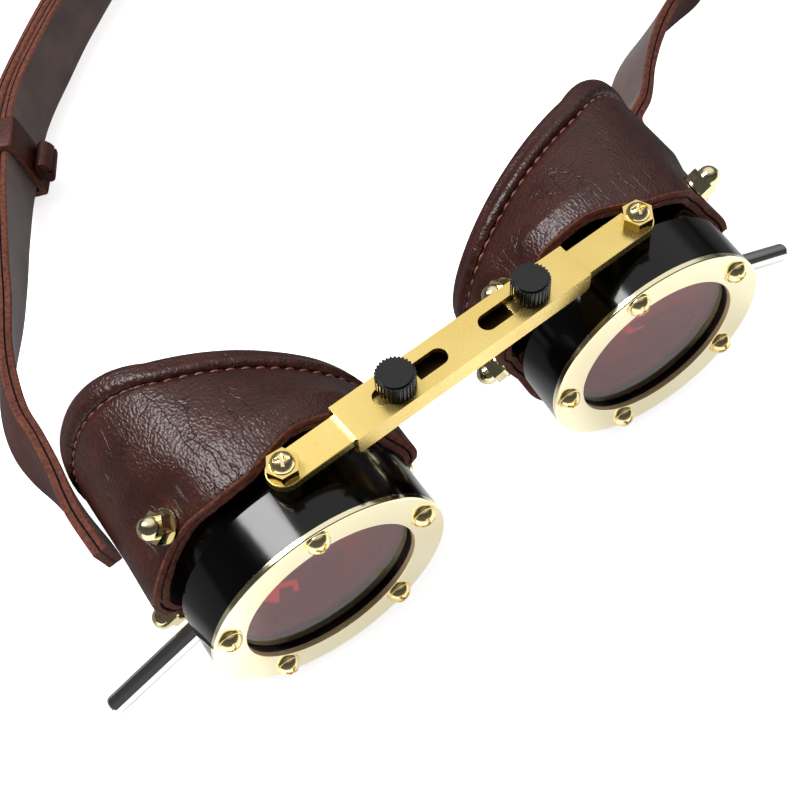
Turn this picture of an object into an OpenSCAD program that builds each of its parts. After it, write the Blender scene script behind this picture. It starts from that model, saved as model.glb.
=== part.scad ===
// Steampunk goggles: two round eyepieces with iris shutters, leather cups, a sliding bridge and a strap.
// Sizes are millimetres. +X runs along the bridge, -Y is the lens side, +Y the face side, +Z is up.
// The origin is the middle of the bridge sleeve's top face.

/* [Bridge] */
// Length of the bridge sleeve
sleeve_l = 54.7; // [50:0.1:60]
// Width of the bridge sleeve
sleeve_w = 8.6; // [8.2:0.1:10]
// Wall above and below the arms in the sleeve
sleeve_wall = 1.3; // [1:0.1:1.6]
// Rounding of the sleeve's lower corners
sleeve_corner = 1.2; // [0.5:0.1:2]
// Width of the two adjusting slots
slot_w = 3.7; // [3.4:0.1:4.4]
// Distance from the middle to a slot's inner end
slot_start = 4; // [3:0.1:6]
// Distance from the middle to a slot's outer end
slot_end = 20.5; // [20:0.1:22]
// Width of the two arms
arm_w = 6.6; // [5.8:0.1:7]
// Thickness of the two arms
arm_t = 2; // [1.6:0.1:2.4]
// Length of arm past its knob, towards the middle
arm_tail = 4.8; // [3:0.1:6]
// Clearance of an arm in the sleeve, on each face
slide_gap = 0.05; // [0.04:0.01:0.1]
// How far the left knob stands from the middle
left_knob_x = 15.45; // [10:0.05:18]
// How far the right knob stands from the middle
right_knob_x = 16.1; // [10:0.05:18]
// Distance from the left knob to the left pivot
left_reach = 24.95; // [24:0.05:28]
// Distance from the right knob to the right pivot
right_reach = 27.1; // [24:0.05:28]

/* [Knobs and pivots] */
// Diameter of a clamping knob over its knurl
knob_d = 7.5; // [7:0.1:9]
// Height of a clamping knob
knob_h = 4.5; // [3:0.1:6]
// Number of ribs in a knob's knurl
knob_ribs = 30; // [20:1:36]
// Depth of a knob's ribs
knob_rib_depth = 0.3; // [0.2:0.05:0.4]
// Diameter of the clamping and pivot screws
screw_d = 3; // [2.5:0.1:3.2]
// Radial clearance of a screw in what turns or slides on it
screw_gap = 0.1; // [0.05:0.01:0.15]
// Radial clearance of a screw in its own thread
thread_gap = 0.03; // [0.01:0.01:0.05]
// Width across the flats of the nuts
nut_flats = 5.5; // [5:0.1:6]
// Height of the nuts
nut_h = 2.4; // [2:0.1:3]
// Height of the spacer between barrel and arm
spacer_h = 2.5; // [2:0.1:4]
// Depth of the flat that the spacer stands on
pivot_flat = 0.3; // [0.25:0.05:0.6]
// Diameter of the screws' round heads
head_d = 4.6; // [4:0.1:5.4]
// Height of the screws' round heads
head_h = 1.7; // [1.2:0.1:2]
// Turn of the left eyepiece about its pivot
left_toe = -5.3; // [-12:0.1:12]
// Turn of the right eyepiece about its pivot
right_toe = -7.6; // [-12:0.1:12]

/* [Barrel] */
// Outer diameter of the barrel and its front ring
barrel_d = 50; // [48:0.5:54]
// How far the neck behind the barrel is smaller, on each side
neck_step = 1.5; // [1.2:0.1:2]
// Wall of the barrel round the bore where the shutter turns
barrel_wall = 3.8; // [3.6:0.1:4]
// Length of barrel in front of the pivot
barrel_front = 10.25; // [9.5:0.05:12]
// Length of barrel behind the pivot
barrel_rear = 0.5; // [0:0.1:0.6]
// Distance from the pivot to the neck's rear end
neck_rear = 12.3; // [12:0.1:14]
// How far the seat for lens and gasket is wider than the front ring's opening, on each side
lens_lap = 2.05; // [1.8:0.05:2.2]
// Thickness of the gasket in front of the lens
gasket_t = 1.4; // [1:0.1:1.6]
// Thickness of the lens
lens_t = 1.6; // [1.2:0.1:2]
// Thickness of the shoulder behind the lens
shoulder_t = 0.8; // [0.6:0.1:1]
// Clearance round fixed pieces in the barrel
seat_gap = 0.05; // [0.02:0.01:0.1]

/* [Front ring] */
// Thickness of the front ring
ring_t = 1.2; // [1:0.1:2]
// Width of the front ring
ring_w = 6.75; // [6.5:0.05:7]
// Distance of the ring's screws from its outside
screw_inset = 3.1; // [2.9:0.05:3.2]
// Number of screws in a front ring
ring_screw_count = 5; // [4:1:8]
// Diameter of the ring screws
ring_screw_d = 1.6; // [1.4:0.1:1.8]
// Diameter of the ring screws' heads
ring_head_d = 4; // [3.4:0.1:4.2]
// Height of the ring screws' heads
ring_head_h = 1.6; // [1.2:0.1:2]
// Turn of the left ring's first screw from the top, towards the nose
left_screw_turn = -2.7; // [-30:0.1:30]
// Turn of the right ring's first screw from the top, towards the nose
right_screw_turn = 18.6; // [-30:0.1:30]

/* [Iris shutter] */
// Number of iris blades in an eyepiece
blade_count = 6; // [5:1:6]
// Thickness of an iris blade
blade_t = 0.32; // [0.25:0.01:0.34]
// Distance from one blade's level to the next
blade_step = 0.42; // [0.4:0.01:0.44]
// Distance of the blades' pivots from the bore
blade_pivot_inset = 1.5; // [1.4:0.05:1.7]
// Distance of a blade's arc from its pivot
blade_ear = 2.4; // [2.3:0.05:2.6]
// Width of a blade's arc
blade_w = 5.3; // [4.5:0.1:6]
// Angle that a blade's arc spans
blade_span = 104; // [90:1:115]
// Distance from a blade's pivot to its drive pin
blade_crank = 3.4; // [3.2:0.05:3.5]
// Diameter of the blades' pins
blade_pin_d = 1; // [0.8:0.05:1]
// Clearance round a blade's pins
blade_pin_gap = 0.1; // [0.08:0.01:0.12]
// Turn of a blade from its outline's place when the iris is open
blade_open = 2; // [1:0.5:4]
// Turn of a blade for each degree of the lever
blade_ratio = 0.7; // [0.6:0.01:0.72]
// Lowest lever angle, with the iris open
lever_low = -50; // [-52:1:-45]
// Highest lever angle, with the iris closed
lever_high = -10; // [-14:1:-8]
// Lever angle of the left eyepiece, up from level
left_lever = -27.5; // [-44:0.5:-14]
// Lever angle of the right eyepiece, up from level
right_lever = -19.5; // [-44:0.5:-14]
// Diameter of the lever rod
lever_d = 4.2; // [3.6:0.1:4.2]
// Distance of the lever behind the pivot
lever_y = 2.2; // [2.2:0.05:2.3]
// Distance from the barrel's axis to the lever's tip
lever_tip_r = 49.5; // [40:0.5:52]
// Clearance round the lever in its slot
lever_gap = 0.25; // [0.2:0.01:0.3]
// Width of the cam ring's front disc
cam_w = 7.6; // [7:0.1:8]
// Clearance round the shutter's turning ring
turn_gap = 0.1; // [0.06:0.01:0.12]

/* [Leather cup] */
// Thickness of the leather at the barrel, two plies
leather_t = 3.4; // [3:0.1:3.6]
// Thickness of the leather at the padded rim
edge_t = 2.6; // [2:0.1:3]
// Gap between neck and leather away from the bolts
lobe_gap = 2.2; // [1.8:0.1:2.6]
// Distance of the cup bolts behind the pivot
bolt_y = 8.8; // [8.4:0.1:9]
// Width of the padded rim, seen from the side
rim_w = 4.4; // [3.5:0.1:5]
// Thickness of the padded rim
rim_t = 4.2; // [3.6:0.1:5]
// Place of the rim's middle towards the temple
rim_mid_x = 8.5; // [7:0.1:10]
// How far the rim stands out past the cup at the temple
rim_temple_out = 0.15; // [0:0.05:1]
// How far the rim stays inside the cup at the nose
rim_nose_in = 0.35; // [0:0.05:2]
// How far the rim stays below the barrel's top
rim_top_in = 0.2; // [0:0.1:2]
// Mean distance of the rim behind the pivot
rim_y = 34.9; // [32:0.1:38]
// How much further back the rim is at the temple than in the middle
rim_sweep = 10.1; // [8:0.1:12]

/* [Strap] */
// Distance from the pivots to the back of the strap's loop
strap_reach = 193; // [180:1:210]
// Width of the strap
strap_w = 15; // [12:0.1:16]
// Thickness of the strap
strap_t = 3.2; // [2.4:0.1:3.4]
// Gap between strap layers
strap_gap = 0.4; // [0.3:0.05:0.6]
// Width of the keeper loop
keeper_w = 9; // [6:0.5:12]
// Thickness of the keeper loop
keeper_t = 1.6; // [1.2:0.1:2]
// Diameter of the buckle's wire
buckle_wire = 2.6; // [2:0.1:3]
// Length of the buckle frame along the strap
buckle_l = 16; // [14:0.5:18]
// Tilt of the buckle frame out of the strap
buckle_tilt = 31; // [28:1:34]
// Diameter of the buckle's prong
prong_d = 1.8; // [1.4:0.1:2]
// Lift that the threaded strap leaves the prong, in degrees
prong_lift = 20; // [10:1:25]

/* [Hidden] */
$fn = 64;

left = -1;
right = 1;
eps = 0.01;

// Colours
satin_gold = "#d9b95e";
pale_gold = "#efe4b4";
brass = "#d8b04a";
gloss_black = "#141414";
steel = "#c9ccd0";
oxblood = "#3a1d1a";
strap_brown = "#4a2620";

// Bridge heights, down from the sleeve's top face
arm_top = -sleeve_wall - slide_gap;
arm_bottom = arm_top - arm_t;
sleeve_bottom = arm_bottom - slide_gap - sleeve_wall;
channel_w = arm_w + 2 * slide_gap;
barrel_r = barrel_d / 2;
axis_z = arm_bottom - spacer_h - barrel_r;

// Stations along a barrel, measured forwards from its pivot
ring_front = barrel_front + ring_t;
lens_front = barrel_front - gasket_t;
lens_back = lens_front - lens_t;
shoulder_back = lens_back - seat_gap - shoulder_t;
plate_t = 1;
plate_front = shoulder_back - seat_gap;
plate_back = plate_front - plate_t;
level_gap = blade_step - blade_t;
blades_front = plate_back - level_gap;
blades_back = blades_front - blade_count * blade_step;
cam_t = 1;
cam_front = blades_back - level_gap;
cam_back = cam_front - cam_t;
lever_slot_w = lever_d + 2 * lever_gap;
drum_back = -lever_y - lever_slot_w / 2;
retainer_t = 1.2;
retainer_front = drum_back - turn_gap;
retainer_back = retainer_front - retainer_t;

// Radii in a barrel
bore_r = barrel_r - barrel_wall;
neck_r = barrel_r - neck_step;
opening_d = barrel_d - 2 * ring_w;
lens_seat_d = opening_d + 2 * lens_lap;
screw_circle_d = barrel_d - 2 * screw_inset;
fixed_r = bore_r - seat_gap;
drum_r = bore_r - turn_gap;
drum_inner_r = drum_r - 2.5;
cam_inner_r = drum_r - cam_w;
blade_pivot_r = bore_r - blade_pivot_inset;
blade_outer_r = blade_pivot_r - blade_ear;
blade_inner_r = blade_outer_r - blade_w;
sight_r = opening_d / 2 + 0.15;
lever_spigot_d = 3;

// Side-dependent values
function knob_x(side) = side < 0 ? -left_knob_x : right_knob_x;
function reach(side) = side < 0 ? left_reach : right_reach;
function pivot_x(side) = knob_x(side) + side * reach(side);
function toe(side) = side < 0 ? left_toe : right_toe;
function lever_angle(side) = side < 0 ? left_lever : right_lever;
function screw_turn(side) = side < 0 ? left_screw_turn : right_screw_turn;
function bolt_angles(side) = [side < 0 ? 40 : 33, 151, 204, -27];

// A point of an eyepiece, given as temple side, backwards and up from the barrel's axis, in the whole frame
function on_goggle(side, p) =
    let (x = side * p[0], c = cos(toe(side)), s = sin(toe(side)))
    [pivot_x(side) + x * c - p[1] * s, x * s + p[1] * c, axis_z + p[2]];

// Small helpers
function polar(r, a) = [r * cos(a), r * sin(a)];
function lerp(a, b, t) = a + (b - a) * t;
function clamp01(t) = max(0, min(1, t));
function unit(v) = v / norm(v);
function turned(p, a) = [p[0] * cos(a) - p[1] * sin(a), p[0] * sin(a) + p[1] * cos(a)];
function angle_gap(a, b) = let (d = (a - b) % 360) min(abs(d), 360 - abs(d));

// Skin over closed rings of points; the rings join up again or get a flat end each
module skin(rings, joined = false) {
    n = len(rings);
    m = len(rings[0]);
    last = joined ? n - 1 : n - 2;
    sides = [for (i = [0:last], j = [0:m - 1])
        let (a = i * m + j, b = i * m + (j + 1) % m, i2 = (i + 1) % n, c = i2 * m + j, d = i2 * m + (j + 1) % m)
        each [[a, c, b], [b, c, d]]];
    ends = joined ? [] : [for (j = [1:m - 2]) each [
        [0, j, j + 1],
        [(n - 1) * m, (n - 1) * m + j + 1, (n - 1) * m + j]]];
    polyhedron(points = [for (r = rings) each r], faces = concat(sides, ends), convexity = 8);
}

// Puts an eyepiece's pieces in place; they are drawn with +X to the temple and the axis at the origin
module goggle(side) {
    translate([pivot_x(side), 0, axis_z])
        rotate([0, 0, toe(side)])
            mirror([side < 0 ? 1 : 0, 0, 0]) children();
}

// Turns the Z axis forwards, along the line of sight
module axial() { rotate([90, 0, 0]) children(); }

// Stands the Z axis outwards at an angle round the barrel, at a distance behind the pivot
module outwards(angle, y) { translate([0, y, 0]) rotate([0, 90 - angle, 0]) children(); }

// Flat ring between two stations
module tube(r_out, r_in, from, to) {
    translate([0, 0, from]) difference() {
        cylinder(r = r_out, h = to - from, $fn = 96);
        translate([0, 0, -1]) cylinder(r = r_in, h = to - from + 2, $fn = 96);
    }
}

// Low round cap standing on Z = 0
module cap(d, h) {
    r = (d * d / 4 + h * h) / (2 * h);
    intersection() {
        translate([0, 0, h - r]) sphere(r = r, $fn = 48);
        cylinder(d = d, h = h, $fn = 48);
    }
}

// Crossed driving slots in the top of a head
module cross_slots(d, top) {
    for (a = [45, 135]) rotate([0, 0, a])
        translate([-d * 0.32, -d * 0.08, top - 0.7]) cube([d * 0.64, d * 0.16, 2]);
}

module hexagon(flats, h) { cylinder(d = flats / cos(30), h = h, $fn = 6); }

// Bridge

module bridge_sleeve() {
    color(satin_gold) difference() {
        translate([0, sleeve_w / 2, 0]) rotate([90, 0, 0]) linear_extrude(sleeve_w) sleeve_side_view();
        translate([-sleeve_l / 2 - 1, -channel_w / 2, arm_bottom - slide_gap])
            cube([sleeve_l + 2, channel_w, arm_t + 2 * slide_gap]);
        for (side = [left, right]) adjusting_slot(side);
    }
}

module sleeve_side_view() {
    h = -sleeve_bottom;
    difference() {
        translate([-sleeve_l / 2, -h]) square([sleeve_l, h]);
        for (s = [-1, 1]) translate([s * (sleeve_l / 2 - sleeve_corner), -h + sleeve_corner]) difference() {
            translate([s > 0 ? 0 : -sleeve_corner - 1, -sleeve_corner - 1]) square(sleeve_corner + 1);
            circle(r = sleeve_corner, $fn = 48);
        }
    }
}

module adjusting_slot(side) {
    r = slot_w / 2;
    depth = sleeve_wall + slide_gap;
    translate([0, 0, -depth]) {
        for (x = [slot_start + r, slot_end - r]) translate([side * x, 0, 0]) cylinder(r = r, h = depth + 1);
        translate([side > 0 ? slot_start + r : r - slot_end, -r, 0])
            cube([slot_end - slot_start - slot_w, slot_w, depth + 1]);
    }
}

module arm(side) {
    inner = knob_x(side) - side * arm_tail;
    length = abs(pivot_x(side) - inner);
    color(satin_gold) translate([0, 0, arm_bottom]) difference() {
        union() {
            translate([side > 0 ? inner : inner - length, -arm_w / 2, 0]) cube([length, arm_w, arm_t]);
            translate([pivot_x(side), 0, 0]) cylinder(d = arm_w, h = arm_t);
        }
        translate([pivot_x(side), 0, -1]) cylinder(d = screw_d + 2 * screw_gap, h = arm_t + 2);
        translate([knob_x(side), 0, -1]) cylinder(d = screw_d + 2 * thread_gap, h = arm_t + 2);
    }
}

module knob(side) {
    chamfer = 0.4;
    tip = [for (i = [0:knob_ribs * 4 - 1])
        let (wave = [0, 1, 1, 0][i % 4]) polar(knob_d / 2 - knob_rib_depth * (1 - wave), i * 90 / knob_ribs)];
    color(gloss_black) translate([knob_x(side), 0, 0]) {
        translate([0, 0, slide_gap]) {
            cylinder(d = knob_d - 4 * knob_rib_depth, h = knob_h - slide_gap);
            translate([0, 0, chamfer]) linear_extrude(knob_h - slide_gap - 2 * chamfer) polygon(tip);
        }
        translate([0, 0, arm_bottom]) cylinder(d = screw_d, h = -arm_bottom + 1);
    }
}

// Pivots

module pivot_screw(side) {
    head_z = arm_top + slide_gap + nut_h + slide_gap - axis_z;
    tip_z = bore_r + 0.2;
    color(brass) goggle(side) difference() {
        union() {
            translate([0, 0, tip_z]) cylinder(d = screw_d, h = head_z - tip_z + eps);
            translate([0, 0, head_z]) cap(head_d, head_h);
        }
        cross_slots(head_d, head_z + head_h);
    }
}

module pivot_nut(side) {
    color(brass) goggle(side) translate([0, 0, arm_top + slide_gap - axis_z]) difference() {
        hexagon(nut_flats, nut_h);
        translate([0, 0, -1]) cylinder(d = screw_d + 2 * thread_gap, h = nut_h + 2);
    }
}

module pivot_spacer(side) {
    h = spacer_h + pivot_flat - slide_gap;
    color(brass) goggle(side) translate([0, 0, barrel_r - pivot_flat]) difference() {
        hexagon(nut_flats, h);
        translate([0, 0, -1]) cylinder(d = screw_d + 2 * thread_gap, h = h + 2);
    }
}

// Eyepiece

module barrel(side) {
    color(gloss_black) goggle(side) difference() {
        axial() difference() {
            barrel_turned();
            ring_screw_places(side) translate([0, 0, -screw_depth - 0.3])
                cylinder(d = ring_screw_d + 2 * thread_gap, h = screw_depth + 1, $fn = 32);
            lever_slot();
        }
        translate([0, 0, barrel_r - pivot_flat]) cylinder(d = nut_flats / cos(30) + 0.4, h = 2);
        translate([0, 0, bore_r - 2]) cylinder(d = screw_d + 2 * thread_gap, h = barrel_r);
        for (a = bolt_angles(side)) outwards(a, bolt_y) translate([0, 0, bore_r - 2])
            cylinder(d = screw_d + 2 * thread_gap, h = barrel_wall + 2);
    }
}

// Barrel and neck as turned on a lathe: bore, shoulder, lens seat
module barrel_turned() {
    bevel = 0.3;
    rotate_extrude($fn = 128) polygon([
        [bore_r, -neck_rear], [neck_r, -neck_rear], [neck_r, -barrel_rear],
        [barrel_r - bevel, -barrel_rear], [barrel_r, bevel - barrel_rear],
        [barrel_r, barrel_front], [lens_seat_d / 2, barrel_front],
        [lens_seat_d / 2, lens_back - seat_gap], [sight_r, lens_back - seat_gap],
        [sight_r, shoulder_back], [bore_r, shoulder_back]]);
}

screw_depth = 3.6;
module ring_screw_places(side) {
    for (i = [0:ring_screw_count - 1]) rotate([0, 0, 90 + screw_turn(side) + i * 360 / ring_screw_count])
        translate([screw_circle_d / 2, 0, barrel_front]) children();
}

// Window through the neck in which the lever swings
module lever_slot() {
    reach_in = asin((lever_d / 2 + lever_gap) / bore_r);
    from = lever_low - reach_in;
    to = lever_high + reach_in;
    translate([0, 0, -lever_y - lever_slot_w / 2]) linear_extrude(lever_slot_w)
        polygon(concat([polar(bore_r - 1, to), polar(bore_r - 1, from)],
            [for (i = [0:6]) polar(barrel_r + 2, lerp(from, to, i / 6))]));
}

module front_ring(side) {
    bevel = 0.2;
    color(pale_gold) goggle(side) axial() difference() {
        translate([0, 0, barrel_front]) rotate_extrude($fn = 128) polygon([
            [opening_d / 2, 0], [barrel_r, 0], [barrel_r, ring_t - bevel], [barrel_r - bevel, ring_t],
            [opening_d / 2, ring_t]]);
        ring_screw_places(side) translate([0, 0, -1])
            cylinder(d = ring_screw_d + 2 * screw_gap, h = ring_t + 2, $fn = 32);
    }
}

module ring_screws(side) {
    washer_t = 0.3;
    color(brass) goggle(side) axial() ring_screw_places(side) difference() {
        union() {
            translate([0, 0, -screw_depth]) cylinder(d = ring_screw_d, h = screw_depth + ring_t + 0.5, $fn = 32);
            translate([0, 0, ring_t]) cylinder(d = ring_head_d + 0.3, h = washer_t, $fn = 48);
            translate([0, 0, ring_t + washer_t]) cap(ring_head_d, ring_head_h);
        }
        cross_slots(ring_head_d, ring_t + washer_t + ring_head_h);
    }
}

module gasket(side) {
    color("#1b1b1b") goggle(side) axial()
        tube(lens_seat_d / 2 - seat_gap, sight_r, lens_front + seat_gap, barrel_front);
}

module lens(side) {
    color("#7a1f26", 0.7) goggle(side) axial()
        translate([0, 0, lens_back]) cylinder(r = lens_seat_d / 2 - seat_gap, h = lens_t, $fn = 96);
}

// Iris shutter

// Where a blade's pivot stands, and its turn at a lever angle
function blade_place(i) = 12 + i * 360 / blade_count;
function blade_turn(lever) = blade_open + blade_ratio * (lever - lever_low);

// A blade's drive pin, from the barrel's axis, for the blade that pivots at angle 0
function drive_pin(turn) = [blade_pivot_r, 0] + turned([0, blade_crank], turn);

module iris_plate(side) {
    color("#26262a") goggle(side) axial() difference() {
        tube(fixed_r, sight_r, plate_back, plate_front);
        for (i = [0:blade_count - 1]) rotate([0, 0, blade_place(i)])
            translate([blade_pivot_r, 0, plate_back - 1])
                cylinder(d = blade_pin_d + 2 * blade_pin_gap, h = plate_t + 2, $fn = 32);
    }
}

module blade(side, i) {
    z = blades_front - i * blade_step - blade_t;
    pin = drive_pin(0);
    r = blade_pin_d / 2;
    color("#3b3b41") goggle(side) axial() rotate([0, 0, blade_place(i)])
        translate([blade_pivot_r, 0, 0]) rotate([0, 0, blade_turn(lever_angle(side))])
            translate([-blade_pivot_r, 0, 0]) {
                translate([0, 0, z]) linear_extrude(blade_t) blade_outline();
                translate([blade_pivot_r, 0, z + blade_t / 2])
                    cylinder(r = r, h = plate_front - 0.2 - z - blade_t / 2, $fn = 32);
                translate([pin[0], pin[1], cam_back + 0.1])
                    cylinder(r = r, h = z + blade_t / 2 - cam_back - 0.1, $fn = 32);
            }
}

// Crescent of a blade with the ear that carries its two pins
module blade_outline() {
    steps = 20;
    pin = drive_pin(0);
    pin_angle = atan2(pin[1], pin[0]);
    ear = 3;
    polygon(concat(
        [for (k = [0:steps]) polar(blade_outer_r, -ear + k * (blade_span + ear) / steps)],
        [polar((blade_outer_r + blade_inner_r) / 2, blade_span + 6)],
        [for (k = [steps:-1:0]) polar(blade_inner_r, -ear + k * (blade_span + ear) / steps)]));
    polygon([polar(blade_outer_r - 1, -ear), polar(blade_pivot_r, -ear), polar(blade_pivot_r, pin_angle / 2),
        polar(blade_pivot_r, pin_angle + ear), polar(blade_outer_r - 1, pin_angle + ear)]);
    translate([blade_pivot_r, 0]) circle(r = blade_pin_d, $fn = 32);
    translate(pin) circle(r = blade_pin_d * 0.85, $fn = 32);
}

// Turning ring: cam slots in its front disc drive the blades, its drum carries the lever
module iris_ring(side) {
    color("#4a4a50") goggle(side) axial() rotate([0, 0, lever_angle(side)]) difference() {
        rotate_extrude($fn = 128) polygon([
            [cam_inner_r, cam_back], [drum_inner_r, cam_back], [drum_inner_r, drum_back],
            [drum_r, drum_back], [drum_r, cam_front], [cam_inner_r, cam_front]]);
        for (i = [0:blade_count - 1]) rotate([0, 0, blade_place(i)]) cam_slot();
        translate([0, 0, -lever_y]) rotate([0, 90, 0])
            cylinder(d = lever_spigot_d + 2 * thread_gap, h = bore_r, $fn = 48);
    }
}

// Slot that a drive pin follows, as the pin's path seen from the turning ring
function cam_point(lever) = turned(drive_pin(blade_turn(lever)), -lever);
module cam_slot() {
    steps = 20;
    half = blade_pin_d / 2 + blade_pin_gap;
    path = [for (k = [0:steps]) cam_point(lerp(lever_low, lever_high, k / steps))];
    sides = [for (k = [0:steps])
        let (d = unit(path[min(k + 1, steps)] - path[max(k - 1, 0)])) [-d[1], d[0]] * half];
    translate([0, 0, cam_back - 1]) linear_extrude(cam_t + 2)
        polygon(concat([for (k = [0:steps]) path[k] + sides[k]], [for (k = [steps:-1:0]) path[k] - sides[k]]));
    for (p = [path[0], path[steps]]) translate([p[0], p[1], cam_back - 1])
        cylinder(r = half, h = cam_t + 2, $fn = 32);
}

module lever(side) {
    round = 0.8;
    start = bore_r + 0.1;
    color(steel) goggle(side) axial() rotate([0, 0, lever_angle(side)]) translate([0, 0, -lever_y])
        rotate([0, 90, 0]) rotate_extrude($fn = 64) polygon(concat(
            [[0, drum_inner_r + 0.1], [lever_spigot_d / 2, drum_inner_r + 0.1], [lever_spigot_d / 2, start],
             [lever_d / 2, start]],
            [for (k = [0:4]) [lever_d / 2 - round + round * cos(k * 22.5),
                              lever_tip_r - round + round * sin(k * 22.5)]],
            [[0, lever_tip_r]]));
}

module retainer(side) {
    color("#26262a") goggle(side) axial() tube(fixed_r, drum_inner_r, retainer_back, retainer_front);
}

// Leather cup, drawn with the angle going from the temple over the top to the nose

cup_steps = 56;
front_y = 3.6;
seated_y = 12.2;
cup_r = neck_r + seat_gap + lobe_gap + leather_t;
rim_top = barrel_r - rim_top_in;
rim_bottom = cup_r;
rim_temple = cup_r + rim_temple_out - rim_mid_x;
rim_nose = cup_r - rim_nose_in + rim_mid_x;
rim_mid_z = (rim_top - rim_bottom) / 2 + 0.4;
washer_span = 7.5;
pinch_w = 11;

// How far the leather is drawn in to the neck by the bolts, 1 under a bolt's washer
function pinch(side, a) =
    max([for (b = bolt_angles(side)) exp(-pow(max(0, angle_gap(a, b) - washer_span) / pinch_w, 2))]);

// Half axes of the rim at an angle
function rim_x(a) = cos(a) > 0 ? rim_temple : rim_nose;
function rim_z(a) = sin(a) > 0 ? rim_top - rim_mid_z : rim_bottom + rim_mid_z;
function rim_line(a) = [
    rim_mid_x + rim_x(a) * cos(a),
    rim_y + rim_sweep * cos(a) + sin(a) - 1.9 * cos(2 * a) + 0.45 * sin(2 * a),
    rim_mid_z + rim_z(a) * sin(a)];
function rim_out(a) = unit([cos(a) / rim_x(a), 0, sin(a) / rim_z(a)]);

// Front edge of the leather: back at the bolts, behind the lever and where arm and sleeve pass over it,
// forward on the lobes
lever_clear = lever_y + lever_d / 2 + 0.4;
function in_sweep(a) = angle_gap(a, (lever_low + lever_high) / 2) < (lever_high - lever_low) / 2 + 10;
function under_sleeve(a) = 3.9 * clamp01((a - 76) / 30) * clamp01((142 - a) / 18);
function edge_y(side, a) =
    let (
        bolts = front_y + 2.2 * pinch(side, a),
        y = max(bolts, front_y + under_sleeve(a)) - 2.4 * exp(-pow(angle_gap(a, 245) / 28, 2)))
    in_sweep(a) ? max(y, lever_clear) : y;

// A point of the cup's wall, from the front edge at t = 0 to the padded rim at t = 1
function wall_point(side, a, t, depth) =
    let (
        y1 = edge_y(side, a),
        stop = rim_line(a) - [0, rim_w, 0] - rim_out(a) * (0.5 + depth * edge_t),
        y = lerp(y1, stop[1], t),
        s = clamp01((y - seated_y) / (stop[1] - seated_y)),
        hold = 1 - clamp01((y - seated_y) / 7),
        r = neck_r + seat_gap + lobe_gap * (1 - pinch(side, a) * hold) + leather_t * (1 - depth),
        x = lerp(r * cos(a), stop[0], s),
        z = lerp(r * sin(a), stop[2], s))
    [x, y, z];
wall_stations = [0, 0.1, 0.2, 0.3, 0.42, 0.6, 0.8, 1];
function wall_ring(side, a) = concat(
    [for (t = wall_stations) wall_point(side, a, t, 0)],
    [for (k = [len(wall_stations) - 1:-1:0]) wall_point(side, a, wall_stations[k], 1)]);

// Everything below the plane that the goggles stand on
stand_depth = 0.5;
module below_stand() {
    translate([-2 * cup_r, -cup_r, -3 * cup_r + stand_depth]) cube([4 * cup_r, 4 * cup_r, 2 * cup_r]);
}

module cup(side) {
    color(oxblood) goggle(side) difference() {
        skin([for (k = [0:cup_steps - 1]) wall_ring(side, k * 360 / cup_steps)], joined = true);
        for (a = bolt_angles(side)) outwards(a, bolt_y)
            translate([0, 0, neck_r - 1]) cylinder(d = screw_d + 2 * screw_gap, h = leather_t + lobe_gap + 2, $fn = 32);
        below_stand();
    }
}

// Padded roll along the rim, crowned towards the face
rim_facets = 9;
function rim_ring(a) =
    let (depth = rim_w - 3 * seat_gap, back = rim_line(a) - [0, depth, 0], out = rim_out(a))
    [for (k = [0:rim_facets]) let (u = k * 180 / rim_facets)
        back - out * (rim_t / 2) * (1 - cos(u)) + [0, depth * pow(sin(u), 0.8), 0]];
module rim(side) {
    color(oxblood) goggle(side) difference() {
        skin([for (k = [0:cup_steps - 1]) rim_ring(k * 360 / cup_steps)], joined = true);
        below_stand();
    }
}

module cup_bolts(side) {
    bolt_head_d = 5.4;
    sag = bore_r - sqrt(bore_r * bore_r - bolt_head_d * bolt_head_d / 4) + seat_gap;
    bolt_head_h = 1.6;
    color(brass) goggle(side) for (a = bolt_angles(side)) outwards(a, bolt_y) {
        translate([0, 0, bore_r - sag - bolt_head_h]) cylinder(d = bolt_head_d, h = bolt_head_h, $fn = 48);
        translate([0, 0, bore_r - sag - eps]) cylinder(d = screw_d, h = nut_base + bolt_stick - bore_r + sag);
    }
}

// Domed nuts on a washer over the leather
nut_base = neck_r + seat_gap + leather_t + 0.65;
bolt_stick = 3.4;
washer_h = 0.5;
dome_r = 2.35;
module acorn_nuts(side) {
    color(brass) goggle(side) for (a = bolt_angles(side)) outwards(a, bolt_y)
        translate([0, 0, nut_base]) difference() {
            union() {
                translate([0, 0, -washer_h]) cylinder(d = nut_flats + 1.2, h = washer_h, $fn = 48);
                hexagon(nut_flats, nut_h);
                translate([0, 0, nut_h]) cylinder(r = dome_r, h = 0.7, $fn = 48);
                translate([0, 0, nut_h + 0.7]) sphere(r = dome_r, $fn = 48);
            }
            translate([0, 0, -1]) cylinder(d = screw_d + 2 * thread_gap, h = bolt_stick + 1.2);
        }
}

// Strap

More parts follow.
